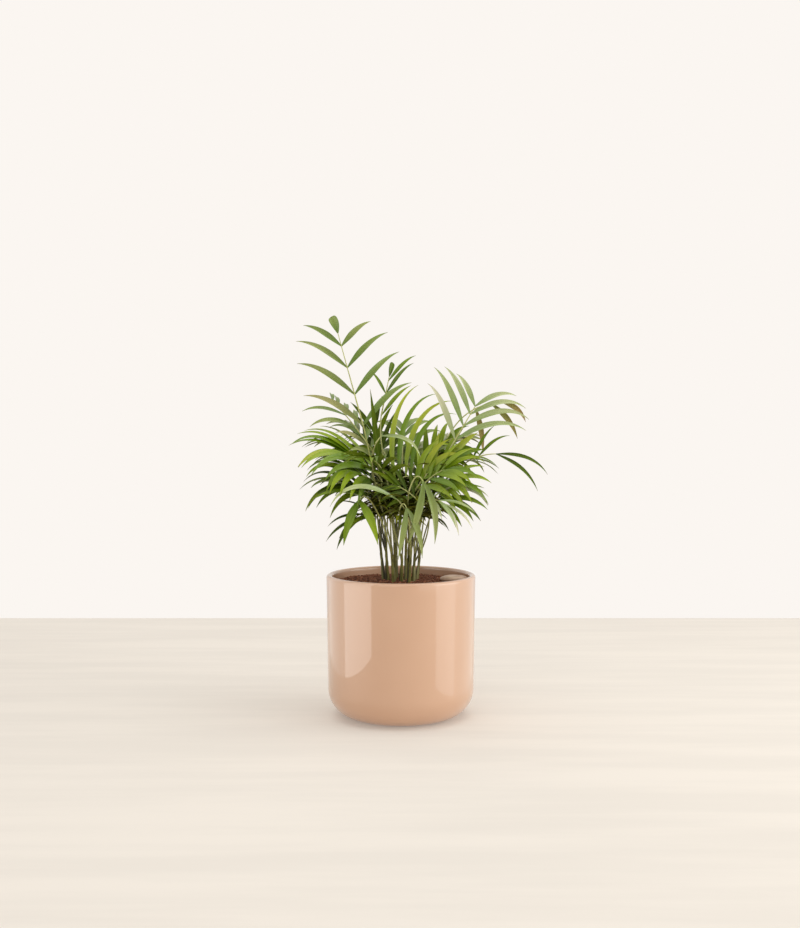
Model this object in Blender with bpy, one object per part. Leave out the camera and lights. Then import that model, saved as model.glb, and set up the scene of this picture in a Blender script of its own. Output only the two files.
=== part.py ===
"""A parlour palm in its glazed pot: a clump of short canes whose stalks carry pinnate fronds.

Everything is in metres with +Z up. The origin is the middle of the pot's flat underside, and the front
is -Y. Headings turn from +X, the palm's right, through +Y, its back.
"""

import math
import random
from dataclasses import dataclass

import bmesh
import bpy
from mathutils import Matrix, Vector
from mathutils.bvhtree import BVHTree

MM = 0.001
UP = Vector((0, 0, 1))
GAP = 0.3 * MM
SAME_PLACE = 0.001 * MM

# Pot: a turned, glazed cylinder with a round bottom corner and a round lip
POT_HEIGHT = 142 * MM
POT_RIM_RADIUS = 74.7 * MM
POT_SHOULDER_RADIUS = 73.2 * MM
POT_CORNER_RADIUS = 28 * MM
POT_WALL = 6 * MM
POT_FLOOR = 8 * MM
TURNED_STEPS = 48
CORNER_STEPS = 8
CAVITY_STEPS = 5

# Soil: fills the pot up to a level a little below the lip, with a low mound round the canes
SOIL_LEVEL = 133.4 * MM
MOUND_RISE = 2.4 * MM
MOUND_TOP_RADIUS = 24 * MM
MOUND_FOOT_RADIUS = 34 * MM
GROUND = SOIL_LEVEL + MOUND_RISE + GAP

# Pebble: one flat stone on the soil, beside the wall
PEBBLE_SIZE = (28 * MM, 22 * MM, 7.4 * MM)
PEBBLE_PLACE = (53.5 * MM, 6 * MM)
PEBBLE_STANDING = 0.8
PEBBLE_SEGMENTS = (18, 10)

# Canes: set out as a sunflower sets its seeds, leaning outward the more the further out they stand
CANE_COUNT = 11
CLUMP_RADIUS = 20 * MM
GOLDEN_ANGLE = math.radians(137.508)
CANE_HEIGHT = 46 * MM
CANE_HEIGHT_STEP = 9 * MM
CANE_HEIGHTS = 3
CANE_SIDES = 8
CANE_LEAN = math.radians(7)
# Share of a cane's height, and its radius there
CANE_TAPER = [(0, 2.5 * MM), (0.12, 2.1 * MM), (0.5, 2.0 * MM), (0.92, 1.7 * MM), (1, 1.2 * MM)]

# Stalks: they leave the upper half of a cane one above another and run up to the fronds
MOST_STALKS = 5
# Share of a frond's own reach at which its cane stands
STALK_FOOT_SHARE = 0.5
LOWEST_STALK = 0.5
STALK_SPACING = 0.09
STALK_RADIUS = 1.0 * MM
STALK_TIP_RADIUS = 0.8 * MM
STALK_SIDES = 5
STALK_RINGS = 8
STALK_RISE = 0.9
STALK_REACH = 0.8
SWAYS = (2, 4, 6, 9, 12)
SWAY_HEADINGS = 12

# Ribs
RIB_RADIUS = 0.8 * MM
RIB_TIP_RADIUS = 0.55 * MM
LEAF_FOOT = 2.2 * MM
LEAF_FOOT_SHARE = 0.3

# Leaflets: thin blades with a narrow foot, widest before the middle, drawn out to a point
LEAF_THICKNESS = 1.0 * MM
LEAF_STEPS = 8
LEAF_WIDEST = 0.42
LEAF_FOOT_WIDTH = 0.2
LEAF_TAPER = 1.55
LEAF_WIDTH_KEPT = 0.75
DROOP_AT_FOOT = 0.2
DROOP_AT_POINT = 1.8
# A short end leaflet widens outward and ends blunt
END_FOOT_WIDTH = 0.3
END_WIDTH = 1.7
END_WIDEST = 0.72
LONG_LEAF = 40 * MM
LONG_LEAF_SECTIONS = (0.25, 0.625)
SHORT_LEAF_SECTIONS = (0.375,)
LEAF_CLEARANCE = 1.5 * GAP
# How far a leaflet may turn from its place to clear its neighbours, in degrees, and how it shortens
NUDGES = (6, 11, 17)
NUDGE_HEADINGS = 8
NUDGE_LENGTHS = (1, 0.75, 0.55)

GREENS = {
    "fresh": (0.22, 0.36, 0.03),
    "mid": (0.11, 0.23, 0.03),
    "deep": (0.04, 0.10, 0.015),
    "olive": (0.28, 0.27, 0.08),
    "pale": (0.36, 0.43, 0.17),
    "brown": (0.26, 0.17, 0.05),
}


@dataclass
class Frond:
    """One frond, in millimetres and degrees. A place is its reach from the pot's axis, heading and height."""

    name: str
    collar: tuple
    tip: tuple
    pairs: int
    leaf: float
    width: float
    spread: tuple
    droop: float
    face: tuple = (0, 90)
    bow: float = 0.05
    skew: float = 0
    lift: float = 0
    sweep: float = 0
    last: float = 0.85
    first: float = 0.08
    crowd: float = 1.3
    left_share: float = 1
    bare: tuple = ()
    end_leaf: float = 0
    tone: str = "mid"


# The fronds that give the palm its outline from the front, and those that fill its middle
FRONDS = [
    Frond("tall_left", (39, 167, 291), (71, 155, 385), 4, 73, 6.6, (41, 43), 52, face=(-82, 15), bow=0,
          skew=16, lift=2, last=0.38, first=0, crowd=1.4, end_leaf=20, tone="olive"),
    Frond("tall_back", (35, 125, 301), (41, 107, 341), 3, 52, 4.2, (36, 30), 46, face=(-60, 12), bow=0,
          skew=-24, lift=4, last=0.8, first=0, crowd=2, left_share=0.6, bare=((0, -1), (2, -1)), end_leaf=16),
    Frond("right_pale", (55, -12, 277), (74, -5, 310), 3, 74, 6.2, (36, 38), 74, face=(-90, 35), bow=0,
          skew=-24, lift=2, last=0.6, first=0, crowd=1.3, tone="pale"),
    Frond("far_right", (70, -9, 257), (95, -9, 263), 2, 40, 3.4, (56, 12), 66, face=(-90, 15), bow=0.06,
          skew=20, lift=4, last=1.5, crowd=0.4, bare=((0, 1), (1, 1))),
    Frond("right_brown", (76, 14, 307), (104, 12, 315), 2, 50, 6, (108, 22), 80, face=(-90, 15), lift=4,
          last=0.72, bare=((0, -1), (1, -1), (2, -1)), tone="brown"),
    Frond("left_high", (34, 163, 271), (78, 154, 316), 4, 54, 6.2, (52, 44), 60, face=(-40, 45), bow=0.03,
          skew=-6, lift=-2, last=0.6, bare=((0, -1), (3, -1), (4, -1)), tone="olive"),
    Frond("left_fan", (24, -171, 242), (51, -169, 261), 4, 80, 8, (25, 16), 84, face=(-70, 62), skew=-10,
          lift=8, tone="fresh"),
    Frond("left_arch", (29, -146, 234), (55, -147, 246), 4, 62, 7.4, (44, 18), 92, face=(-80, 60), lift=8),
    Frond("left_low", (27, -167, 220), (47, -168, 230), 3, 70, 6.8, (42, 15), 98, face=(-80, 62), lift=8,
          last=0.9, tone="deep"),
    Frond("front_left", (56, -129, 223), (66, -127, 220), 1, 54, 8.8, (66, 22), 58, face=(-90, 50), bow=0.1,
          skew=-46, last=1, bare=((0, -1),)),
    Frond("front_sweep", (43, -90, 216), (44.5, -95, 220), 1, 82, 5.4, (6, 6), 110, face=(-90, 40), last=1,
          bare=((0, 1), (0, -1), (1, 1)), tone="pale"),
    Frond("front_nod", (45, -80, 228), (59, -69, 238), 1, 66, 7, (35, 15), 60, face=(-90, 30), bow=0.45,
          skew=24, sweep=-34, last=1, bare=((0, 1), (0, -1)), tone="olive"),
    Frond("front_low", (48, -91, 212), (60, -85, 213), 1, 56, 6, (25, 16), 60, face=(-90, 30), bow=0.3,
          skew=10, sweep=-14, last=1, bare=((0, 1), (0, -1)), tone="olive"),
    Frond("low_left", (26, -157, 200), (42, -155, 201), 2, 46, 5.4, (34, 10), 60, face=(-90, 60), bow=0.12,
          last=1, tone="deep"),
    Frond("right_fan", (33, -25, 230), (52, -25, 238), 3, 46, 6.6, (62, 14), 52, face=(-90, 40), bow=0.08,
          last=0.95, tone="fresh"),
    Frond("right_low", (30, -20, 215), (46, -20, 220), 2, 50, 6.8, (46, 12), 62, face=(-90, 40), bow=0.1,
          last=0.95),
    Frond("right_olive", (31, -11, 242), (48, -13, 258), 2, 44, 7.4, (40, 12), 34, face=(-90, 30), bow=0.04,
          last=0.9, tone="fresh"),
    Frond("right_arch", (18, 13, 240), (41, 11, 264), 4, 48, 6.2, (56, 22), 84, face=(-90, 40), lift=8,
          last=0.9),
    Frond("front_right", (44, -54, 217), (62, -48, 216), 2, 42, 4.4, (45, 15), 66, face=(-90, 60), bow=0.15,
          last=0.9, tone="pale"),
    Frond("centre_blade", (20, -163, 230), (20, -163, 238), 1, 88, 6.2, (8, 8), 20, face=(-90, 15), bow=0,
          last=1, bare=((0, 1), (0, -1), (1, 1)), tone="deep"),
    Frond("centre_up", (12, -115, 236), (18.5, -36, 240), 4, 112, 5.6, (68, 90), 96, face=(-90, 15), bow=0.12,
          sweep=-50, last=0.58, first=0, crowd=1,
          bare=((0, 1), (1, 1), (2, 1), (3, 1), (4, 1)), tone="fresh"),
    Frond("centre_dark", (29, 128, 240), (45, 128, 284), 3, 52, 5.2, (34, 20), 34, face=(-90, 20), bow=0,
          last=0.8, tone="deep"),
    Frond("front_straps", (22, -49, 228), (32, -36, 244), 2, 56, 6, (34, 10), 60, face=(-90, 15), bow=0,
          skew=10, sweep=-36, last=0.8, tone="fresh"),
    Frond("centre_fan", (30, -62, 220), (31, -96, 232), 3, 34, 5.2, (50, 20), 46, face=(-90, 35), last=0.9,
          tone="deep"),
    Frond("centre_pale", (38, -130, 274), (34, -124, 281), 1, 48, 4, (30, 44), 104, face=(-90, 35), last=1,
          bare=((0, 1), (0, -1), (1, -1)), tone="pale"),
    Frond("middle_left", (22, -130, 238), (48, -124, 258), 4, 46, 5.8, (55, 25), 70, bow=0.1, lift=8,
          last=0.75),
    Frond("middle_right", (28, -45, 230), (50, -32, 248), 4, 44, 6, (56, 18), 62, face=(-90, 40), bow=0.08,
          lift=6, last=0.85, tone="fresh"),
]

# The fronds behind them, in three tiers: name, count, first and last heading, collar's reach and height,
# tip's reach and height, leaflet length, all in millimetres and degrees
BACK_TIERS = [
    ("upper", 5, 30, 150, 26, 254, 56, 278, 48),
    ("middle", 6, 12, 168, 26, 238, 62, 264, 60),
    ("lower", 5, 0, 180, 26, 214, 58, 226, 54),
]
BACK_LEAF_WIDTH = 6.6
BACK_SEED = 3
BACK_CENTRE = Vector((0, 4 * MM, 0))
HEADING_PLAY = 6
COLLAR_PLAY = 8
TIP_PLAY = 10
BACK_TONES = ("mid", "deep", "mid", "olive")


def polar(reach, heading, height):
    angle = math.radians(heading)
    return Vector((reach * math.cos(angle), reach * math.sin(angle), height)) * MM


def blend(start, stop, share):
    return start + (stop - start) * share


def back_fronds():
    dice = random.Random(BACK_SEED)
    fronds = []
    for tier, count, first, last, collar_reach, collar_height, tip_reach, tip_height, leaf in BACK_TIERS:
        for number in range(count):
            heading = blend(first, last, number / (count - 1)) + dice.uniform(-HEADING_PLAY, HEADING_PLAY)
            collar = (collar_reach, heading, collar_height + dice.uniform(-COLLAR_PLAY, COLLAR_PLAY))
            tip = (tip_reach, heading, tip_height + dice.uniform(-TIP_PLAY, TIP_PLAY))
            fronds.append(Frond(f"back_{tier}_{number + 1}", collar, tip, 4, leaf, BACK_LEAF_WIDTH, (60, 25), 70,
                                bow=0.1, lift=10, last=0.7, tone=dice.choice(BACK_TONES)))
    return fronds


def leaf_outline(share):
    """Half width of a leaflet as a share of its widest: a narrow foot, a long even taper to its point."""
    swell = LEAF_FOOT_WIDTH + (1 - LEAF_FOOT_WIDTH) * math.sin(min(1, share / LEAF_WIDEST) * math.pi / 2)
    taper = 1 - max(0, (share - LEAF_WIDEST) / (1 - LEAF_WIDEST)) ** LEAF_TAPER
    return swell * taper


def end_outline(share):
    """Half width of a short end leaflet, in the same terms: it widens outward and ends blunt."""
    swell = END_FOOT_WIDTH + (END_WIDTH - END_FOOT_WIDTH) * math.sin(min(1, share / END_WIDEST) * math.pi / 2)
    return swell * math.sqrt(max(0, 1 - (max(0, share - END_WIDEST) / (1 - END_WIDEST)) ** 3))


class Blade:
    """The rib and leaflets of one frond, as places and directions in metres."""

    def __init__(self, frond):
        self.frond = frond
        centre = BACK_CENTRE if frond.name.startswith("back") else Vector()
        self.collar = polar(*frond.collar) + centre
        self.tip = polar(*frond.tip) + centre
        heading, elevation = (math.radians(angle) for angle in frond.face)
        level = Vector((math.cos(heading), math.sin(heading), 0))
        self.upper = level * math.cos(elevation) + UP * math.sin(elevation)
        rise = UP * 2 * frond.bow * (self.tip - self.collar).length
        self.bend = (self.collar + self.tip) / 2 + rise

    def rib(self, s):
        return (1 - s) ** 2 * self.collar + 2 * s * (1 - s) * self.bend + s * s * self.tip

    def along(self, s):
        return ((1 - s) * (self.bend - self.collar) + s * (self.tip - self.bend)).normalized()

    def frame(self, s):
        """The rib's direction, the blade's upper side there, and the way to its right-hand leaflets."""
        along = self.along(s)
        upper = (self.upper - self.upper.dot(along) * along).normalized()
        return along, upper, along.cross(upper)

    def station(self, pair):
        """A pair's place along the rib: the further out, the closer the pairs stand."""
        frond = self.frond
        return frond.first + (1 - frond.first) * (1 - (1 - pair / frond.pairs) ** frond.crowd)

    def leaf_length(self, s, side):
        if side == 0:
            return self.frond.end_leaf * MM
        share = self.frond.left_share if side < 0 else 1
        return self.frond.leaf * MM * (1 - (1 - self.frond.last) * s ** 3) * share

    def leaflet(self, pair, side, swing=0, lift=0, scale=1):
        """The leaflet's midrib, as place, direction across, upper side and half width at each step."""
        frond = self.frond
        s = self.station(pair)
        along, upper, right = self.frame(s)
        angle = math.radians(blend(*frond.spread, s) + side * frond.skew / 2 + swing) if side else 0
        raised = math.radians(frond.lift + lift)
        outward = math.cos(raised) * right * side + math.sin(raised) * upper
        way = (math.cos(angle) * along + math.sin(angle) * outward).normalized()
        face = (upper - upper.dot(way) * way).normalized()
        length = self.leaf_length(s, side) * scale
        widest = frond.width * MM / 2 * blend(LEAF_WIDTH_KEPT, 1, length / (frond.leaf * MM))
        outline = leaf_outline if side else end_outline
        place = self.rib(s)
        steps = []
        for step in range(LEAF_STEPS + 1):
            share = step / LEAF_STEPS
            steps.append((place.copy(), face.cross(way), face.copy(), widest * outline(share)))
            place += way * length / LEAF_STEPS
            tilt = way.cross(-UP)
            droop = math.radians(frond.droop / LEAF_STEPS * blend(DROOP_AT_FOOT, DROOP_AT_POINT, share))
            turn = Matrix.Rotation(droop * tilt.length, 3, tilt)
            turn = Matrix.Rotation(math.radians(frond.sweep) / LEAF_STEPS, 3, face) @ turn
            way = turn @ way
            face = turn @ face
        return steps


class Space:
    """The solids placed so far, against which each new limb and leaflet is tested."""

    def __init__(self):
        self.placed = []

    def add(self, owner, corners, faces):
        low = [min(corner[axis] for corner in corners) for axis in range(3)]
        high = [max(corner[axis] for corner in corners) for axis in range(3)]
        self.placed.append((owner, low, high, BVHTree.FromPolygons(corners, faces)))

    def is_clear(self, corners, faces, but=()):
        low = [min(corner[axis] for corner in corners) - GAP for axis in range(3)]
        high = [max(corner[axis] for corner in corners) + GAP for axis in range(3)]
        tree = None
        for owner, other_low, other_high, other in self.placed:
            if owner in but:
                continue
            if any(low[axis] > other_high[axis] or other_low[axis] > high[axis] for axis in range(3)):
                continue
            tree = tree or BVHTree.FromPolygons(corners, faces)
            if tree.overlap(other):
                return False
        return True


def plank_rings(steps, margin=0.0):
    """Four-cornered sections of a leaflet between its foot and its point: two in a long one, else one."""
    is_long = (steps[-1][0] - steps[0][0]).length > LONG_LEAF
    rings = []
    for share in (LONG_LEAF_SECTIONS if is_long else SHORT_LEAF_SECTIONS):
        place, across, face, half = steps[round(share * LEAF_STEPS)]
        side = across * (half + margin)
        thick = face * (LEAF_THICKNESS / 2 + margin)
        rings.append([place - side - thick, place + side - thick, place + side + thick, place - side + thick])
    return rings


def ring_faces(count, sides):
    """Faces of a skin that joins rings of corners, numbered ring by ring."""
    faces = []
    for ring in range(count - 1):
        low = ring * sides
        high = low + sides
        for side in range(sides):
            after = (side + 1) % sides
            faces.append((low + side, low + after, high + after, high + side))
    return faces


def plank(steps, foot):
    """Corners and faces of a leaflet with a clearance round it, from its foot on the rib to its point."""
    rings = [foot] + plank_rings(steps, LEAF_CLEARANCE)
    point = steps[-1][0] + (steps[-1][0] - steps[-2][0]).normalized() * LEAF_CLEARANCE
    corners = [corner for ring in rings for corner in ring] + [point]
    faces = ring_faces(len(rings), 4)
    last = 4 * (len(rings) - 1)
    end = len(corners) - 1
    faces += [(last + side, last + (side + 1) % 4, end) for side in range(4)]
    return corners, faces


def tube_rings(path, radii, sides, margin=0.0):
    """Round sections square to a path, turned as little as it allows."""
    rings = []
    side = None
    for number, place in enumerate(path):
        way = (path[min(number + 1, len(path) - 1)] - path[max(number - 1, 0)]).normalized()
        side = side or way.orthogonal()
        side = (side - side.dot(way) * way).normalized()
        other = way.cross(side)
        angles = [2 * math.pi * corner / sides for corner in range(sides)]
        radius = radii[number] + margin
        rings.append([place + (side * math.cos(a) + other * math.sin(a)) * radius for a in angles])
    return rings


def cane_line(number):
    """A cane's foot on the ground and its top."""
    reach = CLUMP_RADIUS * math.sqrt((number + 0.5) / CANE_COUNT)
    heading = number * GOLDEN_ANGLE
    outward = Vector((math.cos(heading), math.sin(heading), 0))
    lean = CANE_LEAN * reach / CLUMP_RADIUS
    height = CANE_HEIGHT - CANE_HEIGHT_STEP * (number % CANE_HEIGHTS)
    foot = outward * reach + UP * GROUND
    return foot, foot + (UP * math.cos(lean) + outward * math.sin(lean)) * height


def cane_rings(cane):
    """Sections of a cane, the lowest cut level at the ground."""
    path = [blend(*cane, share) for share, _ in CANE_TAPER]
    rings = tube_rings(path, [radius for _, radius in CANE_TAPER], CANE_SIDES)
    for corner in rings[0]:
        corner.z = GROUND
    return rings


def share_out(blades, canes):
    """Gives each frond the nearest cane that still has room, the inner fronds an inner cane."""
    stalks = {number: [] for number in range(len(canes))}
    for blade in blades:
        aim = blade.collar * STALK_FOOT_SHARE
        open_canes = [number for number in stalks if len(stalks[number]) < MOST_STALKS]
        nearest = min(open_canes, key=lambda number: (canes[number][0] - aim).xy.length)
        stalks[nearest].append(blade)
    return stalks


def stalk_path(cane, number, blade):
    """From inside the cane's upper half to the frond's collar, in line with both."""
    foot, top = cane
    start = blend(foot, top, LOWEST_STALK + STALK_SPACING * number)
    stop = blade.collar - blade.along(0) * GAP / 2
    span = (stop - start).length
    out = (top - foot).normalized() * span * STALK_RISE
    back = blade.along(0) * span * STALK_REACH
    path = []
    for ring in range(STALK_RINGS):
        s = ring / (STALK_RINGS - 1)
        path.append((2 * s ** 3 - 3 * s * s + 1) * start + (s ** 3 - 2 * s * s + s) * out
                    + (3 * s * s - 2 * s ** 3) * stop + (s ** 3 - s * s) * back)
    return path


def swayed(path, sideways):
    """The path bowed to one side between its ends."""
    last = len(path) - 1
    return [place + sideways * math.sin(math.pi * number / last) for number, place in enumerate(path)]


def clear_stalk(cane, owner, number, blade, space):
    """The stalk's path, swayed as little as keeps it clear of the others."""
    plain = stalk_path(cane, number, blade)
    turns = [polar(amount, 360 * turn / SWAY_HEADINGS, 0) for amount in SWAYS for turn in range(SWAY_HEADINGS)]
    for sideways in [Vector()] + turns:
        path = swayed(plain, sideways)
        rings = tube_rings(path, [STALK_RADIUS] * STALK_RINGS, STALK_SIDES, GAP)
        corners = [corner for ring in rings for corner in ring]
        faces = ring_faces(len(rings), STALK_SIDES)
        outside = [face for face in faces if min(face) >= 2 * STALK_SIDES]
        rib = blade.frond.name
        if space.is_clear(corners, faces, but=(owner, rib)) and space.is_clear(corners, outside, but=(rib,)):
            break
    space.add(owner, corners, faces)
    return path


def rib_rings(blade, margin=0.0):
    """Square sections of the rib: two at each pair of leaflets, a leaflet's foot apart."""
    frond = blade.frond
    span = (blade.tip - blade.collar).length
    half_foot = min(LEAF_FOOT, LEAF_FOOT_SHARE * span / (frond.pairs + 1)) / span
    start = GAP / 2 / span
    shares = [start]
    for pair in range(frond.pairs):
        s = blade.station(pair)
        shares += [max(s - half_foot, start * 2), s + half_foot]
    shares += [1 - half_foot, 1 + half_foot]
    rings = []
    for s in shares:
        inside = min(max(s, 0), 1)
        along, upper, right = blade.frame(inside)
        radius = blend(RIB_RADIUS, RIB_TIP_RADIUS, inside) + margin
        place = blade.rib(inside) + along * (s - inside) * span
        corners = (-right - upper, right - upper, right + upper, -right + upper)
        rings.append([place + corner * radius for corner in corners])
    return rings


def foot_corners(rings, pair, side):
    """The rib's face that a leaflet grows from, its corners in the order of the leaflet's own sections."""
    if not side:
        left_low, right_low, right_high, left_high = rings[-1]
        return [right_low, left_low, left_high, right_high]
    near, far = rings[2 * pair + 1], rings[2 * pair + 2]
    if side > 0:
        return [near[1], far[1], far[2], near[2]]
    return [far[0], near[0], near[3], far[3]]


def nudges():
    """Small turns of a leaflet from its own place, least first, then the same with it shortened."""
    for length in NUDGE_LENGTHS:
        yield 0, 0, length
        for amount in NUDGES:
            for turn in range(NUDGE_HEADINGS):
                angle = 2 * math.pi * turn / NUDGE_HEADINGS
                yield amount * math.cos(angle), amount * math.sin(angle), length


def placed_leaflet(blade, foot, pair, side, space):
    """The leaflet's steps where it is clear of what is placed, or none if it finds no such place."""
    name = blade.frond.name
    for swing, lift, scale in nudges():
        steps = blade.leaflet(pair, side, swing, lift, scale)
        corners, faces = plank(steps, foot)
        free = [face for face in faces if min(face) >= 4]
        if space.is_clear(corners, free) and space.is_clear(corners, faces, but=(name,)):
            space.add(f"{name} leaflet", corners, faces)
            return steps
    return None


def new_object(name, bm, material, smooth_angle=40):
    mesh = bpy.data.meshes.new(name)
    bmesh.ops.recalc_face_normals(bm, faces=bm.faces)
    if bm.calc_volume(signed=True) < 0:
        bmesh.ops.reverse_faces(bm, faces=bm.faces)
    bm.to_mesh(mesh)
    bm.free()
    mesh.shade_smooth()
    mesh.set_sharp_from_angle(angle=math.radians(smooth_angle))
    mesh.materials.append(material)
    made = bpy.data.objects.new(name, mesh)
    bpy.context.scene.collection.objects.link(made)
    return made


def new_material(name, colour, roughness):
    material = bpy.data.materials.new(name)
    material.use_nodes = True
    shader = material.node_tree.nodes["Principled BSDF"]
    shader.inputs["Base Color"].default_value = (*colour, 1)
    shader.inputs["Roughness"].default_value = roughness
    material.diffuse_color = (*colour, 1)
    return material


def arc(centre_x, centre_z, radius, start, stop, steps):
    """Points of a profile's round stretch, its ends included, angles in degrees from outward to up."""
    angles = [math.radians(blend(start, stop, step / steps)) for step in range(steps + 1)]
    return [(centre_x + radius * math.cos(a), centre_z + radius * math.sin(a)) for a in angles]


def turned(name, profile, material):
    """A profile of radii and heights, from axis to axis, spun into a closed solid."""
    bm = bmesh.new()
    points = [bm.verts.new((radius, 0, height)) for radius, height in profile]
    edges = [bm.edges.new(pair) for pair in zip(points, points[1:])]
    bmesh.ops.spin(bm, geom=points + edges, axis=UP, cent=(0, 0, 0), angle=2 * math.pi, steps=TURNED_STEPS,
                   use_merge=True)
    bmesh.ops.remove_doubles(bm, verts=bm.verts, dist=SAME_PLACE)
    return new_object(name, bm, material)


def cavity_profile(clearance):
    """The inside of the pot from its axis up to the soil's level, drawn in by a clearance."""
    radius = POT_SHOULDER_RADIUS - POT_WALL - clearance
    floor = POT_FLOOR + clearance
    corner = POT_CORNER_RADIUS - POT_WALL - clearance
    top = POT_RIM_RADIUS - POT_WALL - clearance
    round_stretch = arc(radius - corner, floor + corner, corner, -90, 0, CAVITY_STEPS)
    return [(0, floor)] + round_stretch + [(top, SOIL_LEVEL)]


def make_pot(material):
    centre = POT_SHOULDER_RADIUS - POT_CORNER_RADIUS
    corner = arc(centre, POT_CORNER_RADIUS, POT_CORNER_RADIUS, -90, 0, CORNER_STEPS)
    half_wall = POT_WALL / 2
    lip = arc(POT_RIM_RADIUS - half_wall, POT_HEIGHT - half_wall, half_wall, 0, 180, CORNER_STEPS)
    return turned("pot", [(0, 0)] + corner + lip + cavity_profile(0)[::-1], material)


def make_soil(material):
    """Stands in the cavity with a hair of clearance, and rises to a flat-topped mound in the middle."""
    mound = [(MOUND_FOOT_RADIUS, SOIL_LEVEL), (MOUND_TOP_RADIUS, SOIL_LEVEL + MOUND_RISE)]
    return turned("soil", cavity_profile(GAP) + mound + [(0, SOIL_LEVEL + MOUND_RISE)], material)


def make_pebble(material):
    """A water-worn stone: a flattened ball, cut level where it lies on the soil."""
    bm = bmesh.new()
    segments, rings = PEBBLE_SEGMENTS
    bmesh.ops.create_uvsphere(bm, u_segments=segments, v_segments=rings, radius=1)
    half = [size / 2 for size in PEBBLE_SIZE]
    centre = Vector((*PEBBLE_PLACE, SOIL_LEVEL + GAP + half[2] * PEBBLE_STANDING))
    for corner in bm.verts:
        corner.co = centre + Vector((corner.co.x * half[0], corner.co.y * half[1], corner.co.z * half[2]))
        corner.co.z = max(corner.co.z, SOIL_LEVEL + GAP)
    bmesh.ops.dissolve_limit(bm, angle_limit=math.radians(1), verts=bm.verts, edges=bm.edges)
    return new_object("pebble", bm, material)


def skin(bm, rings):
    """Closes a run of rings of corners into one tube with flat ends."""
    sides = len(rings[0])
    points = [bm.verts.new(corner) for ring in rings for corner in ring]
    for face in ring_faces(len(rings), sides):
        bm.faces.new([points[number] for number in face])
    bm.faces.new(points[:sides][::-1])
    bm.faces.new(points[-sides:])


def make_cane(number, cane, paths, material):
    """A sheathed cane and the stalks that rise out of it, joined into one solid."""
    bm = bmesh.new()
    skin(bm, cane_rings(cane))
    made = new_object(f"stem_{number + 1}", bm, material)
    stalks = bpy.data.collections.new("stalks")
    radii = [blend(STALK_RADIUS, STALK_TIP_RADIUS, ring / (STALK_RINGS - 1)) for ring in range(STALK_RINGS)]
    for path in paths:
        bm = bmesh.new()
        skin(bm, tube_rings(path, radii, STALK_SIDES))
        stalk = new_object("stalk", bm, material)
        bpy.context.scene.collection.objects.unlink(stalk)
        stalks.objects.link(stalk)
    join = made.modifiers.new("join", "BOOLEAN")
    join.operation = "UNION"
    join.operand_type = "COLLECTION"
    join.collection = stalks
    bpy.context.view_layer.update()
    joined = bpy.data.meshes.new_from_object(made.evaluated_get(bpy.context.evaluated_depsgraph_get()))
    made.modifiers.remove(join)
    made.data = joined
    for stalk in list(stalks.objects):
        bpy.data.objects.remove(stalk)
    bpy.data.collections.remove(stalks)
    return made


def face_at(bm, places):
    """The four-cornered face whose corners lie at these places."""

    def distance(face):
        return sum(min((corner.co - place).length for corner in face.verts) for place in places)

    return min((face for face in bm.faces if len(face.verts) == 4), key=distance)


def draw_out(bm, foot, steps):
    """Extrudes one face of the rib through the leaflet's sections to its point."""
    face = face_at(bm, foot)
    before = foot
    for ring in plank_rings(steps):
        face = bmesh.ops.extrude_discrete_faces(bm, faces=[face])["faces"][0]
        moves = [(corner, min(range(4), key=lambda k: (corner.co - before[k]).length)) for corner in face.verts]
        for corner, number in moves:
            corner.co = ring[number]
        before = ring
    face = bmesh.ops.extrude_discrete_faces(bm, faces=[face])["faces"][0]
    corners = list(face.verts)
    for corner in corners:
        corner.co = steps[-1][0]
    bmesh.ops.remove_doubles(bm, verts=corners, dist=SAME_PLACE)


def make_frond(blade, space, material):
    """The frond's rib, with each leaflet that finds a clear place drawn out of the rib's side."""
    frond = blade.frond
    rings = rib_rings(blade)
    bm = bmesh.new()
    skin(bm, rings)
    for pair in range(frond.pairs, -1, -1):
        for side in ((0,) if frond.end_leaf and pair == frond.pairs else (1, -1)):
            if (pair, side) in frond.bare:
                continue
            foot = foot_corners(rings, pair, side)
            steps = placed_leaflet(blade, foot, pair, side, space)
            if steps:
                draw_out(bm, foot, steps)
    return new_object(f"frond_{frond.name}", bm, material)


def clear_scene():
    for old in list(bpy.data.objects):
        bpy.data.objects.remove(old)


def main():
    clear_scene()
    make_pot(new_material("glaze", (0.66, 0.42, 0.30), 0.15))
    make_soil(new_material("soil", (0.13, 0.05, 0.025), 0.95))
    make_pebble(new_material("stone", (0.50, 0.33, 0.22), 0.5))

    blades = [Blade(frond) for frond in FRONDS + back_fronds()]
    canes = [cane_line(number) for number in range(CANE_COUNT)]
    space = Space()
    for number, cane in enumerate(canes):
        rings = cane_rings(cane)
        space.add(f"cane {number}", [corner for ring in rings for corner in ring],
                  ring_faces(len(rings), CANE_SIDES))
    for blade in blades:
        rings = rib_rings(blade, GAP / 2)
        space.add(blade.frond.name, [corner for ring in rings for corner in ring], ring_faces(len(rings), 4))

    bark = new_material("stem", (0.14, 0.16, 0.05), 0.5)
    for number, crowd in share_out(blades, canes).items():
        owner = f"cane {number}"
        paths = [clear_stalk(canes[number], owner, stalk, blade, space) for stalk, blade in enumerate(crowd)]
        make_cane(number, canes[number], paths, bark)

    greens = {tone: new_material(f"leaf_{tone}", colour, 0.4) for tone, colour in GREENS.items()}
    for blade in blades:
        make_frond(blade, space, greens[blade.frond.tone])


main()
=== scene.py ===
"""The looks of a parlour palm in its glazed pot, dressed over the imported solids.

Everything is in metres with +Z up. The origin is the middle of the pot's flat underside, and the front
is -Y. The fronds repeat the rule that the solids follow, with each leaflet as a thin folded blade.
"""

import math
import random
from dataclasses import dataclass

import bmesh
import bpy
from mathutils import Matrix, Vector, noise
from mathutils.bvhtree import BVHTree


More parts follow.
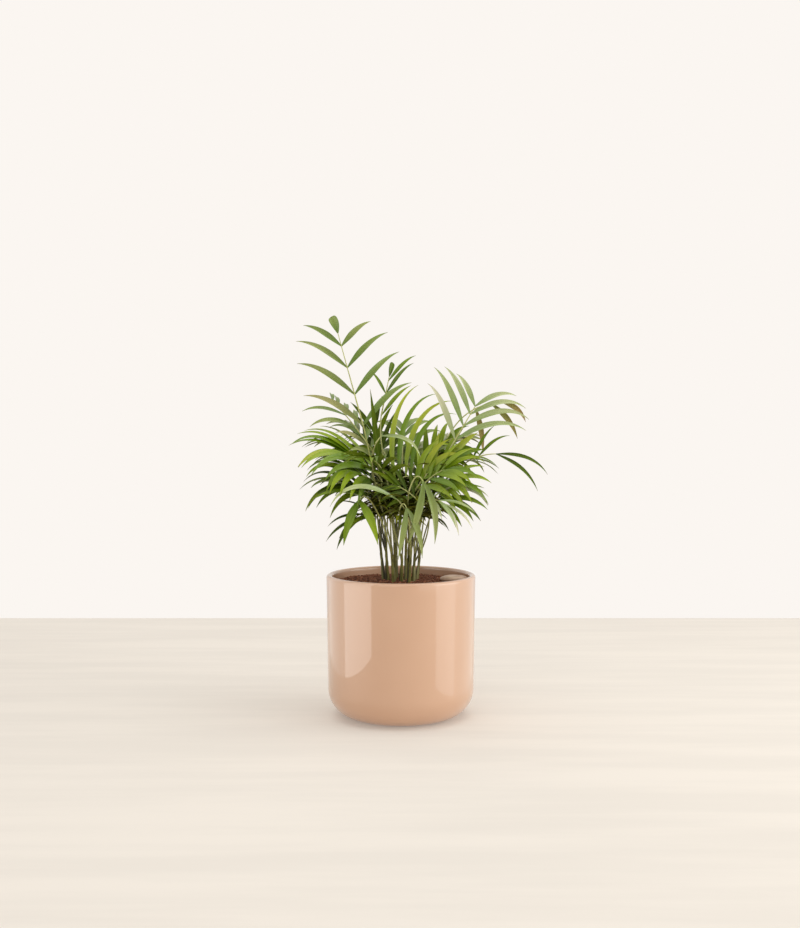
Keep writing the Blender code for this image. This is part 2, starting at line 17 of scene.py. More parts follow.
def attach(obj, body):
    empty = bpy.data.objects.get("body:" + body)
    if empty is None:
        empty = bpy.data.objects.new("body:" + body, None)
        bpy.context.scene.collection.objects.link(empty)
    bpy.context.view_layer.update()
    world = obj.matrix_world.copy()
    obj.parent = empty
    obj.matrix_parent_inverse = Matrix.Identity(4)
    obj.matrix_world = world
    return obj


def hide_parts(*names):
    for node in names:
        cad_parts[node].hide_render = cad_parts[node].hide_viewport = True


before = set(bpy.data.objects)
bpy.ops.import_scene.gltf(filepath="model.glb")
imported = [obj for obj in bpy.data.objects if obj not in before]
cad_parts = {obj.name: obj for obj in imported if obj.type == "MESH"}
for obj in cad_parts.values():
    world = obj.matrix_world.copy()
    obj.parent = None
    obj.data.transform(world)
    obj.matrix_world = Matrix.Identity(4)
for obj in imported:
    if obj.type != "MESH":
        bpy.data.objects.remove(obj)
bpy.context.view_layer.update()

MM = 0.001
UP = Vector((0, 0, 1))
GAP = 0.3 * MM

# Camera: level with the middle of the fronds, a little over a metre in front
CAMERA_PLACE = (-0.9 * MM, -1237 * MM, 300 * MM)
CAMERA_PITCH = math.radians(2.2)
CAMERA_LENS = 48
CAMERA_SENSOR = 36

# Pot
POT_HEIGHT = 142 * MM
POT_RIM_RADIUS = 74.7 * MM
POT_SHOULDER_RADIUS = 73.2 * MM
POT_CORNER_RADIUS = 28 * MM
POT_WALL = 6 * MM
POT_FLOOR = 8 * MM
POT_SEGMENTS = 160
WALL_STEPS = 24
ARC_STEPS = 20

# Soil and pebble
SOIL_LEVEL = 133.4 * MM
MOUND_RISE = 2.4 * MM
MOUND_TOP_RADIUS = 24 * MM
MOUND_FOOT_RADIUS = 34 * MM
GROUND = SOIL_LEVEL + MOUND_RISE + GAP
SOIL_CIRCLES = 46
SOIL_SEGMENTS = 150
SOIL_WAIST = 0.75
# Width and height of the coarse and the fine lumps
COARSE_LUMPS = (7 * MM, 0.9 * MM)
FINE_LUMPS = (2.2 * MM, 0.6 * MM)
GRAIN_COUNT = 5200
GRAIN_SEED = 11
GRAIN_SIZES = (0.55 * MM, 1.35 * MM)
GRAIN_MARGIN = 1.2 * MM
GRAIN_TILT = 0.6
GRAIN_STRETCH = ((0.7, 1.7), (0.6, 1.0), (0.45, 0.85))
GRAIN_ROUGHNESS = (0.72, 1.18)
GRAIN_RISE = 0.25
PEBBLE_SIZE = (28 * MM, 22 * MM, 7.4 * MM)
PEBBLE_PLACE = (53.5 * MM, 6 * MM)
PEBBLE_STANDING = 0.8
PEBBLE_SQUARENESS = 0.8
PEBBLE_UNEVENNESS = 0.035
PEBBLE_TRIM = 0.985

# Canes
CANE_COUNT = 11
CLUMP_RADIUS = 20 * MM
GOLDEN_ANGLE = math.radians(137.508)
CANE_HEIGHT = 46 * MM
CANE_HEIGHT_STEP = 9 * MM
CANE_HEIGHTS = 3
CANE_LEAN = math.radians(7)
# Share of a cane's height, and its radius there
CANE_TAPER = [(0, 2.5 * MM), (0.12, 2.1 * MM), (0.5, 2.0 * MM), (0.92, 1.7 * MM), (1, 1.2 * MM)]
CANE_SIDES = 8
CANE_FINE_SIDES = 28
CANE_FINE_RINGS = 70
CANE_CORE = 0.6
SHEATH_LENGTH = 11 * MM
SHEATH_STEP = 0.32 * MM
SHEATH_SLANT = 3.2 * MM
SHEATH_TURN = 2.4
SHEATH_SHIFT = 0.37
SHEATH_SWELL = 0.7
SHEATHS_END = 0.86
CANE_GROOVE = 0.10 * MM

# Stalks
MOST_STALKS = 5
STALK_FOOT_SHARE = 0.5
LOWEST_STALK = 0.5
STALK_SPACING = 0.09
STALK_RADIUS = 1.0 * MM
STALK_TIP_RADIUS = 0.8 * MM
STALK_SIDES = 5
STALK_RINGS = 8
STALK_RISE = 0.9
STALK_REACH = 0.8
SWAYS = (2, 4, 6, 9, 12)
SWAY_HEADINGS = 12
STALK_FINE_SIDES = 10
STALK_FINE_RINGS = 36
STALK_FINE_SHARE = 0.8
STALK_SHEATH = 0.2 * MM
STALK_SHEATH_REACH = 30 * MM
STALK_GREEN_REACH = 70 * MM
SOIL_STRANDS = 2
STRAND_RINGS = 14
STRAND_OFFSET = 1.7 * MM
STRAND_SMOOTHINGS = 3
# How far a strand's side turns round the cane for each metre that the cane stands to the right
STRAND_TURN = 900

# Small leaflets in the heart of the clump, coloured very dark as painted shade
CORE_SEED = 5
CORE_SPRIGS = 10
CORE_REACH = (0.4, 0.9)
CORE_RADIUS = 44 * MM
CORE_HEIGHTS = (198 * MM, 262 * MM)
CORE_LEAF = (16 * MM, 36 * MM)
CORE_LEAF_HALF = 2.1 * MM
CORE_DROOP = math.radians(75)
CORE_SPREAD = (15, 45)
CORE_RISE = (0.2, 1.1)
CORE_FOLD = 0.25

# Ribs
RIB_RADIUS = 0.8 * MM
RIB_TIP_RADIUS = 0.4 * MM
RIB_STEPS = 30
RIB_PLAIN_STEPS = 4
RIB_SHADE = 0.75

# Leaflets
LEAF_STEPS = 8
LEAF_FINE_STEPS = 18
LEAF_WIDEST = 0.42
LEAF_FOOT_WIDTH = 0.2
LEAF_TAPER = 1.55
LEAF_WIDTH_KEPT = 0.75
LEAF_THICKNESS = 0.34 * MM
LEAF_KEEL = 0.22 * MM
LEAF_GROOVE = 0.10 * MM
DROOP_AT_FOOT = 0.2
DROOP_AT_POINT = 1.8
END_FOOT_WIDTH = 0.3
END_WIDTH = 1.7
END_WIDEST = 0.72
LEAF_CLEARANCE = 0.25 * MM
LEAF_SECTIONS = (0.12, 0.3, 0.5, 0.7, 0.88)
NUDGES = (6, 11)
NUDGE_HEADINGS = 8
LEAST_HALF_WIDTH = 0.12 * MM
FULL_HALF_WIDTH = 1.2 * MM
LEAF_FOLDS = (0.12, 0.34)
LEAF_SHARP_ANGLE = 50
LEAF_SEED = 7
# One leaflet's play: its length, its droop, and its twist and sweep in degrees
LEAF_PLAY = ((0.94, 1.03), (0.85, 1.2), (-14, 14), (-5, 5))
# Places across a leaflet, from its right edge over the upper side to the left one and back beneath
ACROSS = [(1, True), (0.5, True), (0, True), (-0.5, True), (-1, True),
          (-0.5, False), (0, False), (0.5, False)]
UPPER_SIDES = 4


@dataclass
class Frond:
    """One frond, in millimetres and degrees. A place is its reach from the pot's axis, heading and height."""

    name: str
    collar: tuple
    tip: tuple
    pairs: int
    leaf: float
    width: float
    spread: tuple
    droop: float
    face: tuple = (0, 90)
    bow: float = 0.05
    skew: float = 0
    lift: float = 0
    sweep: float = 0
    last: float = 0.85
    first: float = 0.08
    crowd: float = 1.3
    left_share: float = 1
    bare: tuple = ()
    end_leaf: float = 0
    tone: str = "mid"


# The fronds that give the palm its outline from the front, and those that fill its middle
FRONDS = [
    Frond("tall_left", (39, 167, 291), (71, 155, 385), 4, 73, 6.6, (41, 43), 52, face=(-82, 15), bow=0,
          skew=16, lift=2, last=0.38, first=0, crowd=1.4, end_leaf=20, tone="olive"),
    Frond("tall_back", (35, 125, 301), (41, 107, 341), 3, 52, 4.2, (36, 30), 46, face=(-60, 12), bow=0,
          skew=-24, lift=4, last=0.8, first=0, crowd=2, left_share=0.6, bare=((0, -1), (2, -1)), end_leaf=16),
    Frond("right_pale", (55, -12, 277), (74, -5, 310), 3, 74, 6.2, (36, 38), 74, face=(-90, 35), bow=0,
          skew=-24, lift=2, last=0.6, first=0, crowd=1.3, tone="pale"),
    Frond("far_right", (70, -9, 257), (95, -9, 263), 2, 40, 3.4, (56, 12), 66, face=(-90, 15), bow=0.06,
          skew=20, lift=4, last=1.5, crowd=0.4, bare=((0, 1), (1, 1))),
    Frond("right_brown", (76, 14, 307), (104, 12, 315), 2, 50, 6, (108, 22), 80, face=(-90, 15), lift=4,
          last=0.72, bare=((0, -1), (1, -1), (2, -1)), tone="brown"),
    Frond("left_high", (34, 163, 271), (78, 154, 316), 4, 54, 6.2, (52, 44), 60, face=(-40, 45), bow=0.03,
          skew=-6, lift=-2, last=0.6, bare=((0, -1), (3, -1), (4, -1)), tone="olive"),
    Frond("left_fan", (24, -171, 242), (51, -169, 261), 4, 80, 8, (25, 16), 84, face=(-70, 62), skew=-10,
          lift=8, tone="fresh"),
    Frond("left_arch", (29, -146, 234), (55, -147, 246), 4, 62, 7.4, (44, 18), 92, face=(-80, 60), lift=8),
    Frond("left_low", (27, -167, 220), (47, -168, 230), 3, 70, 6.8, (42, 15), 98, face=(-80, 62), lift=8,
          last=0.9, tone="deep"),
    Frond("front_left", (56, -129, 223), (66, -127, 220), 1, 54, 8.8, (66, 22), 58, face=(-90, 50), bow=0.1,
          skew=-46, last=1, bare=((0, -1),)),
    Frond("front_sweep", (43, -90, 216), (44.5, -95, 220), 1, 82, 5.4, (6, 6), 110, face=(-90, 40), last=1,
          bare=((0, 1), (0, -1), (1, 1)), tone="pale"),
    Frond("front_nod", (45, -80, 228), (59, -69, 238), 1, 66, 7, (35, 15), 60, face=(-90, 30), bow=0.45,
          skew=24, sweep=-34, last=1, bare=((0, 1), (0, -1)), tone="olive"),
    Frond("front_low", (48, -91, 212), (60, -85, 213), 1, 56, 6, (25, 16), 60, face=(-90, 30), bow=0.3,
          skew=10, sweep=-14, last=1, bare=((0, 1), (0, -1)), tone="olive"),
    Frond("low_left", (26, -157, 200), (42, -155, 201), 2, 46, 5.4, (34, 10), 60, face=(-90, 60), bow=0.12,
          last=1, tone="deep"),
    Frond("right_fan", (33, -25, 230), (52, -25, 238), 3, 46, 6.6, (62, 14), 52, face=(-90, 40), bow=0.08,
          last=0.95, tone="fresh"),
    Frond("right_low", (30, -20, 215), (46, -20, 220), 2, 50, 6.8, (46, 12), 62, face=(-90, 40), bow=0.1,
          last=0.95),
    Frond("right_olive", (31, -11, 242), (48, -13, 258), 2, 44, 7.4, (40, 12), 34, face=(-90, 30), bow=0.04,
          last=0.9, tone="fresh"),
    Frond("right_arch", (18, 13, 240), (41, 11, 264), 4, 48, 6.2, (56, 22), 84, face=(-90, 40), lift=8,
          last=0.9),
    Frond("front_right", (44, -54, 217), (62, -48, 216), 2, 42, 4.4, (45, 15), 66, face=(-90, 60), bow=0.15,
          last=0.9, tone="pale"),
    Frond("centre_blade", (20, -163, 230), (20, -163, 238), 1, 88, 6.2, (8, 8), 20, face=(-90, 15), bow=0,
          last=1, bare=((0, 1), (0, -1), (1, 1)), tone="deep"),
    Frond("centre_up", (12, -115, 236), (18.5, -36, 240), 4, 112, 5.6, (68, 90), 96, face=(-90, 15), bow=0.12,
          sweep=-50, last=0.58, first=0, crowd=1,
          bare=((0, 1), (1, 1), (2, 1), (3, 1), (4, 1)), tone="fresh"),
    Frond("centre_dark", (29, 128, 240), (45, 128, 284), 3, 52, 5.2, (34, 20), 34, face=(-90, 20), bow=0,
          last=0.8, tone="deep"),
    Frond("front_straps", (22, -49, 228), (32, -36, 244), 2, 56, 6, (34, 10), 60, face=(-90, 15), bow=0,
          skew=10, sweep=-36, last=0.8, tone="fresh"),
    Frond("centre_fan", (30, -62, 220), (31, -96, 232), 3, 34, 5.2, (50, 20), 46, face=(-90, 35), last=0.9,
          tone="deep"),
    Frond("centre_pale", (38, -130, 274), (34, -124, 281), 1, 48, 4, (30, 44), 104, face=(-90, 35), last=1,
          bare=((0, 1), (0, -1), (1, -1)), tone="pale"),
    Frond("middle_left", (22, -130, 238), (48, -124, 258), 4, 46, 5.8, (55, 25), 70, bow=0.1, lift=8,
          last=0.75),
    Frond("middle_right", (28, -45, 230), (50, -32, 248), 4, 44, 6, (56, 18), 62, face=(-90, 40), bow=0.08,
          lift=6, last=0.85, tone="fresh"),
]

# The fronds behind them, in three tiers: name, count, first and last heading, collar's reach and height,
# tip's reach and height, leaflet length, all in millimetres and degrees
BACK_TIERS = [
    ("upper", 5, 30, 150, 26, 254, 56, 278, 48),
    ("middle", 6, 12, 168, 26, 238, 62, 264, 60),
    ("lower", 5, 0, 180, 26, 214, 58, 226, 54),
]
BACK_LEAF_WIDTH = 6.6
BACK_SEED = 3
BACK_CENTRE = Vector((0, 4 * MM, 0))
HEADING_PLAY = 6
COLLAR_PLAY = 8
TIP_PLAY = 10
BACK_TONES = ("mid", "deep", "mid", "olive")

# Each tone's leaf colours: the upper sides, dealt out leaflet by leaflet, and the underside
LEAF_COLOURS = {
    "fresh": [(0.17, 0.29, 0.002), (0.10, 0.21, 0.001), (0.24, 0.34, 0.01), (0.20, 0.29, 0.02)],
    "mid": [(0.09, 0.18, 0.001), (0.145, 0.25, 0.002), (0.05, 0.11, 0.001), (0.12, 0.19, 0.008)],
    # deep: the darkest greens, a painted shade for the low fronds and those inside the clump; some back
    # fronds draw it too
    "deep": [(0.028, 0.062, 0.001), (0.05, 0.10, 0.001), (0.09, 0.155, 0.001), (0.07, 0.115, 0.004)],
    "olive": [(0.19, 0.27, 0.045), (0.145, 0.24, 0.03), (0.26, 0.30, 0.07), (0.20, 0.25, 0.05)],
    # pale: lighter, whitish greens for the most brightly lit fronds, a painted sheen over their green
    "pale": [(0.32, 0.44, 0.12), (0.42, 0.50, 0.20), (0.25, 0.37, 0.08), (0.32, 0.40, 0.13)],
    "brown": [(0.19, 0.20, 0.03), (0.22, 0.19, 0.035), (0.14, 0.17, 0.02), (0.23, 0.21, 0.05)],
}
# Stalks: at the foot, and higher up
STALK_COLOURS = [((0.32, 0.30, 0.12), (0.50, 0.52, 0.19)), ((0.19, 0.18, 0.065), (0.42, 0.43, 0.13)),
                 ((0.05, 0.045, 0.018), (0.28, 0.28, 0.08))]
# Very dark greens for the leaflets in the heart of the clump: painted shade
CORE_SHADED_COLOURS = [(0.035, 0.05, 0.002), (0.06, 0.09, 0.003), (0.12, 0.16, 0.004), (0.07, 0.08, 0.005)]
# Roughness and gloss of a tone's upper sides, and the tint of that gloss
LEAF_GLOSS = {"fresh": (0.34, 0.5, (1, 1, 0.7)), "mid": (0.38, 0.36, (1, 1, 0.5)),
              "deep": (0.42, 0.26, (1, 1, 0.4)), "olive": (0.34, 0.45, (1, 1, 0.9)),
              "pale": (0.28, 0.65, (1, 1, 1)), "brown": (0.42, 0.3, (1, 1, 0.8))}
CORE_GLOSS = (0.5, 0.2, (1, 1, 0.4))
# Which looks a leaflet's upper side may take, how often a frond's leaflets take each, and the underside's
UPPER_LOOKS = (0, 1, 2)
LOOK_WEIGHTS = (5, 3, 2)
UNDER_LOOK = 3
SOIL_COLOUR = (0.17, 0.062, 0.032)
GRAIN_COLOURS = ((0.23, 0.085, 0.044), (0.15, 0.054, 0.029), (0.34, 0.140, 0.073), (0.42, 0.21, 0.12))
GRAIN_WEIGHTS = (5, 4, 3, 1)


def polar(reach, heading, height):
    angle = math.radians(heading)
    return Vector((reach * math.cos(angle), reach * math.sin(angle), height)) * MM


def blend(start, stop, share):
    return start + (stop - start) * share


def smooth(share):
    share = min(1, max(0, share))
    return share * share * (3 - 2 * share)


def round_angles(count):
    return [2 * math.pi * number / count for number in range(count)]


def flattened(rings):
    return [corner for ring in rings for corner in ring]


def back_fronds():
    dice = random.Random(BACK_SEED)
    fronds = []
    for tier, count, first, last, collar_reach, collar_height, tip_reach, tip_height, leaf in BACK_TIERS:
        for number in range(count):
            heading = blend(first, last, number / (count - 1)) + dice.uniform(-HEADING_PLAY, HEADING_PLAY)
            collar = (collar_reach, heading, collar_height + dice.uniform(-COLLAR_PLAY, COLLAR_PLAY))
            tip = (tip_reach, heading, tip_height + dice.uniform(-TIP_PLAY, TIP_PLAY))
            fronds.append(Frond(f"back_{tier}_{number + 1}", collar, tip, pairs=4, leaf=leaf,
                                width=BACK_LEAF_WIDTH, spread=(60, 25), droop=70, bow=0.1, lift=10,
                                last=0.7, tone=dice.choice(BACK_TONES)))
    return fronds


def leaf_outline(share):
    """Half width of a leaflet as a share of its widest: a narrow foot, a long even taper to its point."""
    swell = LEAF_FOOT_WIDTH + (1 - LEAF_FOOT_WIDTH) * math.sin(min(1, share / LEAF_WIDEST) * math.pi / 2)
    taper = 1 - max(0, (share - LEAF_WIDEST) / (1 - LEAF_WIDEST)) ** LEAF_TAPER
    return swell * taper


def end_outline(share):
    """Half width of a short end leaflet, in the same terms: it widens outward and ends blunt."""
    swell = END_FOOT_WIDTH + (END_WIDTH - END_FOOT_WIDTH) * math.sin(min(1, share / END_WIDEST) * math.pi / 2)
    return swell * math.sqrt(max(0, 1 - (max(0, share - END_WIDEST) / (1 - END_WIDEST)) ** 3))


@dataclass
class Play:
    """How far one leaflet departs from the rule: its length, droop, twist and sweep."""

    length: float = 1
    droop: float = 1
    twist: float = 0
    sweep: float = 0


PLAIN = Play()


class Blade:
    """The rib and leaflets of one frond, as places and directions in metres."""

    def __init__(self, frond):
        self.frond = frond
        centre = BACK_CENTRE if frond.name.startswith("back") else Vector()
        self.collar = polar(*frond.collar) + centre
        self.tip = polar(*frond.tip) + centre
        heading, elevation = (math.radians(angle) for angle in frond.face)
        level = Vector((math.cos(heading), math.sin(heading), 0))
        self.upper = level * math.cos(elevation) + UP * math.sin(elevation)
        rise = UP * 2 * frond.bow * (self.tip - self.collar).length
        self.bend = (self.collar + self.tip) / 2 + rise

    def rib(self, s):
        return (1 - s) ** 2 * self.collar + 2 * s * (1 - s) * self.bend + s * s * self.tip

    def along(self, s):
        return ((1 - s) * (self.bend - self.collar) + s * (self.tip - self.bend)).normalized()

    def frame(self, s):
        """The rib's direction, the blade's upper side there, and the way to its right-hand leaflets."""
        along = self.along(s)
        upper = (self.upper - self.upper.dot(along) * along).normalized()
        return along, upper, along.cross(upper)

    def station(self, pair):
        """A pair's place along the rib: the further out, the closer the pairs stand."""
        frond = self.frond
        return frond.first + (1 - frond.first) * (1 - (1 - pair / frond.pairs) ** frond.crowd)

    def leaf_length(self, s, side):
        if side == 0:
            return self.frond.end_leaf * MM
        share = self.frond.left_share if side < 0 else 1
        return self.frond.leaf * MM * (1 - (1 - self.frond.last) * s ** 3) * share

    def leaflet(self, pair, side, swing=0, lift=0, count=LEAF_STEPS, play=PLAIN):
        """The leaflet's midrib, as place, direction across, upper side and half width at each step."""
        frond = self.frond
        s = self.station(pair)
        along, upper, right = self.frame(s)
        angle = math.radians(blend(*frond.spread, s) + side * frond.skew / 2 + swing) if side else 0
        raised = math.radians(frond.lift + lift)
        outward = math.cos(raised) * right * side + math.sin(raised) * upper
        way = (math.cos(angle) * along + math.sin(angle) * outward).normalized()
        face = (upper - upper.dot(way) * way).normalized()
        length = self.leaf_length(s, side) * play.length
        widest = frond.width * MM / 2 * blend(LEAF_WIDTH_KEPT, 1, length / (frond.leaf * MM))
        outline = leaf_outline if side else end_outline
        place = self.rib(s)
        steps = []
        for step in range(count + 1):
            share = step / count
            rolled = Matrix.Rotation(math.radians(play.twist) * share, 3, way) @ face
            steps.append((place.copy(), rolled.cross(way), rolled, widest * outline(share)))
            place += way * length / count
            tilt = way.cross(-UP)
            sag = blend(DROOP_AT_FOOT, DROOP_AT_POINT, share)
            droop = math.radians(frond.droop * play.droop / count * sag)
            turn = Matrix.Rotation(droop * tilt.length, 3, tilt)
            turn = Matrix.Rotation(math.radians(frond.sweep + play.sweep) / count, 3, face) @ turn
            way = turn @ way
            face = turn @ face
        return steps


class Space:
    """The limbs and leaflets placed so far, against which each new one is tested."""

    def __init__(self):
        self.placed = []

    def add(self, owner, corners, faces):
        low = [min(corner[axis] for corner in corners) for axis in range(3)]
        high = [max(corner[axis] for corner in corners) for axis in range(3)]
        self.placed.append((owner, low, high, BVHTree.FromPolygons(corners, faces)))

    def is_clear(self, corners, faces, but=()):
        low = [min(corner[axis] for corner in corners) - GAP for axis in range(3)]
        high = [max(corner[axis] for corner in corners) + GAP for axis in range(3)]
        tree = None
        for owner, other_low, other_high, other in self.placed:
            if owner in but:
                continue
            if any(low[axis] > other_high[axis] or other_low[axis] > high[axis] for axis in range(3)):
                continue
            tree = tree or BVHTree.FromPolygons(corners, faces)
            if tree.overlap(other):
                return False
        return True


def ring_faces(count, sides):
    """Faces of a skin that joins rings of corners, numbered ring by ring."""
    faces = []
    for ring in range(count - 1):
        low = ring * sides
        high = low + sides
        for side in range(sides):
            after = (side + 1) % sides
            faces.append((low + side, low + after, high + after, high + side))
    return faces


def plank(steps):
    """Corners and faces of a leaflet with a clearance round it."""
    rings = []
    for share in LEAF_SECTIONS:
        place, across, face, half = steps[round(share * LEAF_STEPS)]
        side = across * (half + LEAF_CLEARANCE)
        thick = face * (LEAF_THICKNESS / 2 + LEAF_CLEARANCE)
        rings.append([place - side - thick, place + side - thick, place + side + thick, place - side + thick])
    corners = flattened(rings) + [steps[-1][0]]
    faces = ring_faces(len(rings), 4)
    last = 4 * (len(rings) - 1)
    end = len(corners) - 1
    faces += [(last + side, last + (side + 1) % 4, end) for side in range(4)]
    return corners, faces


def tube_rings(path, radii, sides, margin=0.0):
    """Round sections square to a path, turned as little as it allows."""
    rings = []
    side = None
    for number, place in enumerate(path):
        way = (path[min(number + 1, len(path) - 1)] - path[max(number - 1, 0)]).normalized()
        side = side or way.orthogonal()
        side = (side - side.dot(way) * way).normalized()
        other = way.cross(side)
        radius = radii[number] + margin
        rings.append([place + (side * math.cos(a) + other * math.sin(a)) * radius
                      for a in round_angles(sides)])
    return rings


def cane_line(number):
    """A cane's foot on the ground and its top."""
    reach = CLUMP_RADIUS * math.sqrt((number + 0.5) / CANE_COUNT)
    heading = number * GOLDEN_ANGLE
    outward = Vector((math.cos(heading), math.sin(heading), 0))
    lean = CANE_LEAN * reach / CLUMP_RADIUS
    height = CANE_HEIGHT - CANE_HEIGHT_STEP * (number % CANE_HEIGHTS)
    foot = outward * reach + UP * GROUND
    return foot, foot + (UP * math.cos(lean) + outward * math.sin(lean)) * height


def cane_rings(cane):
    """Plain sections of a cane, for the room that it takes."""
    path = [blend(*cane, share) for share, _ in CANE_TAPER]
    rings = tube_rings(path, [radius for _, radius in CANE_TAPER], CANE_SIDES)
    for corner in rings[0]:
        corner.z = GROUND
    return rings


def share_out(blades, canes):
    """Gives each frond the nearest cane that still has room, the inner fronds an inner cane."""
    stalks = {number: [] for number in range(len(canes))}
    for blade in blades:
        aim = blade.collar * STALK_FOOT_SHARE
        open_canes = [number for number in stalks if len(stalks[number]) < MOST_STALKS]
        nearest = min(open_canes, key=lambda number: (canes[number][0] - aim).xy.length)
        stalks[nearest].append(blade)
    return stalks


def stalk_path(cane, number, blade, rings=STALK_RINGS):
    """From inside the cane's upper half to the frond's collar, in line with both."""
    foot, top = cane
    start = blend(foot, top, LOWEST_STALK + STALK_SPACING * number)
    stop = blade.collar - blade.along(0) * GAP / 2
    span = (stop - start).length
    out = (top - foot).normalized() * span * STALK_RISE
    back = blade.along(0) * span * STALK_REACH
    path = []
    for ring in range(rings):
        s = ring / (rings - 1)
        path.append((2 * s ** 3 - 3 * s * s + 1) * start + (s ** 3 - 2 * s * s + s) * out
                    + (3 * s * s - 2 * s ** 3) * stop + (s ** 3 - s * s) * back)
    return path


def swayed(path, sideways):
    """The path bowed to one side between its ends."""
    last = len(path) - 1
    return [place + sideways * math.sin(math.pi * number / last) for number, place in enumerate(path)]


def clear_sway(cane, owner, number, blade, space):
    """How far the stalk is bowed to one side to keep it clear of the others."""
    plain = stalk_path(cane, number, blade)
    turns = [polar(amount, 360 * turn / SWAY_HEADINGS, 0) for amount in SWAYS
             for turn in range(SWAY_HEADINGS)]
    for sideways in [Vector()] + turns:
        rings = tube_rings(swayed(plain, sideways), [STALK_RADIUS] * STALK_RINGS, STALK_SIDES, GAP)
        corners = flattened(rings)
        faces = ring_faces(len(rings), STALK_SIDES)
        outside = [face for face in faces if min(face) >= 2 * STALK_SIDES]
        rib = blade.frond.name
        if space.is_clear(corners, faces, but=(owner, rib)) and space.is_clear(corners, outside, but=(rib,)):
            break
    space.add(owner, corners, faces)
    return sideways


def rib_rings(blade):
    """Plain square sections of the rib, for the room that it takes."""
    rings = []
    for step in range(RIB_PLAIN_STEPS + 1):
        s = step / RIB_PLAIN_STEPS
        along, upper, right = blade.frame(s)
        radius = blend(RIB_RADIUS, RIB_TIP_RADIUS, s)
        corners = (-right - upper, right - upper, right + upper, -right + upper)
        rings.append([blade.rib(s) + corner * radius for corner in corners])
    return rings


def nudges():
    """Small turns of a leaflet from its own place, in degrees, least first."""
    yield 0, 0
    for amount in NUDGES:
        for turn in range(NUDGE_HEADINGS):
            angle = 2 * math.pi * turn / NUDGE_HEADINGS
            yield amount * math.cos(angle), amount * math.sin(angle)


def clear_nudge(blade, pair, side, space):
    """The least turn that keeps a leaflet clear of what is placed, or none if all of them touch."""
    name = blade.frond.name
    for swing, lift in nudges():
        corners, faces = plank(blade.leaflet(pair, side, swing, lift))
        if space.is_clear(corners, faces, but=(name,)):
            break
    else:
        swing, lift = 0, 0
        corners, faces = plank(blade.leaflet(pair, side))
    space.add(f"{name} leaflet", corners, faces)
    return swing, lift


def new_object(name, data):
    made = bpy.data.objects.new(name, data)
    bpy.context.scene.collection.objects.link(made)
    return made


def shade_round(mesh, sharp_angle):
    mesh.shade_smooth()
    mesh.set_sharp_from_angle(angle=math.radians(sharp_angle))


class Piece:
    """Corners and faces gathered for one joined mesh, each face with its material and places on a map."""

    def __init__(self):
        self.corners = []
        self.faces = []
        self.looks = []
        self.places = []

    def add_rings(self, rings, places, look):
        """Skins a run of rings. look gives a face's material from its ring and side."""
        start = len(self.corners)
        sides = len(rings[0])
        for ring, ring_places in zip(rings, places):
            self.corners += ring
            self.places += ring_places
        for number, face in enumerate(ring_faces(len(rings), sides)):
            self.faces.append([start + corner for corner in face])
            self.looks.append(look(number // sides, number % sides))
        last = start + sides * (len(rings) - 1)
        self.faces.append([start + side for side in reversed(range(sides))])
        self.faces.append([last + side for side in range(sides)])
        self.looks += [look(0, 0), look(len(rings) - 2, 0)]

    def add_faces(self, corners, faces, look):
        start = len(self.corners)
        self.corners += corners
        self.places += [(0, 0)] * len(corners)
        self.faces += [[start + corner for corner in face] for face in faces]
        self.looks += [look] * len(faces)

    def build(self, name, materials, sharp_angle=60):
        mesh = bpy.data.meshes.new(name)
        mesh.from_pydata([tuple(corner) for corner in self.corners], [], self.faces)
        for material in materials:
            mesh.materials.append(material)
        mesh.polygons.foreach_set("material_index", self.looks)
        layer = mesh.uv_layers.new(name="strip")
        flat = [value for loop in mesh.loops for value in self.places[loop.vertex_index]]
        layer.data.foreach_set("uv", flat)
        shade_round(mesh, sharp_angle)
        mesh.validate()
        return new_object(name, mesh)


def socket_named(sockets, name):
    return next(socket for socket in sockets if socket.name == name and socket.enabled)


def feed(tree, socket, value):
    """Sets a socket to a value, or links it to another node's output."""
    if isinstance(value, bpy.types.NodeSocket):
        tree.links.new(value, socket)
    else:
        socket.default_value = value


def add_node(tree, kind, settings=None, **inputs):
    """A new node with its settings and inputs."""
    made = tree.nodes.new(kind)
    for name, value in (settings or {}).items():
        setattr(made, name, value)
    for name, value in inputs.items():
        feed(tree, socket_named(made.inputs, name.replace("_", " ")), value)
    return made


def worked(tree, how, first, second=0):
    """The result of a sum on two numbers, or of a function of the first."""
    node = add_node(tree, "ShaderNodeMath", {"operation": how})
    for socket, value in zip(node.inputs, (first, second)):
        feed(tree, socket, value)
    return node.outputs["Value"]


def mixed(tree, share, first, second, amount=1):
    """Two colours mixed by a share times an amount."""
    if amount != 1:
        share = worked(tree, "MULTIPLY", share, amount)
    node = add_node(tree, "ShaderNodeMix", {"data_type": "RGBA"}, Factor=share, A=first, B=second)
    return socket_named(node.outputs, "Result")


def ramped(tree, value, low, high):
    """A value spread from 0 at low to 1 at high, with soft ends."""
    node = add_node(tree, "ShaderNodeMapRange", {"interpolation_type": "SMOOTHSTEP"}, Value=value,
                    From_Min=low, From_Max=high)
    return node.outputs["Result"]


def noisy(tree, scale, detail=3.0, stretch=(1, 1, 1), roughness=0.5):
    """Noise through the piece's own space, per metre, stretched along an axis where stretch is small."""
    place = tree.nodes.new("ShaderNodeTexCoord").outputs["Object"]
    mapped = add_node(tree, "ShaderNodeMapping", None, Vector=place, Scale=stretch)
    node = add_node(tree, "ShaderNodeTexNoise", None, Vector=mapped.outputs["Vector"], Scale=scale,
                    Detail=detail, Roughness=roughness)
    return node.outputs["Fac"]


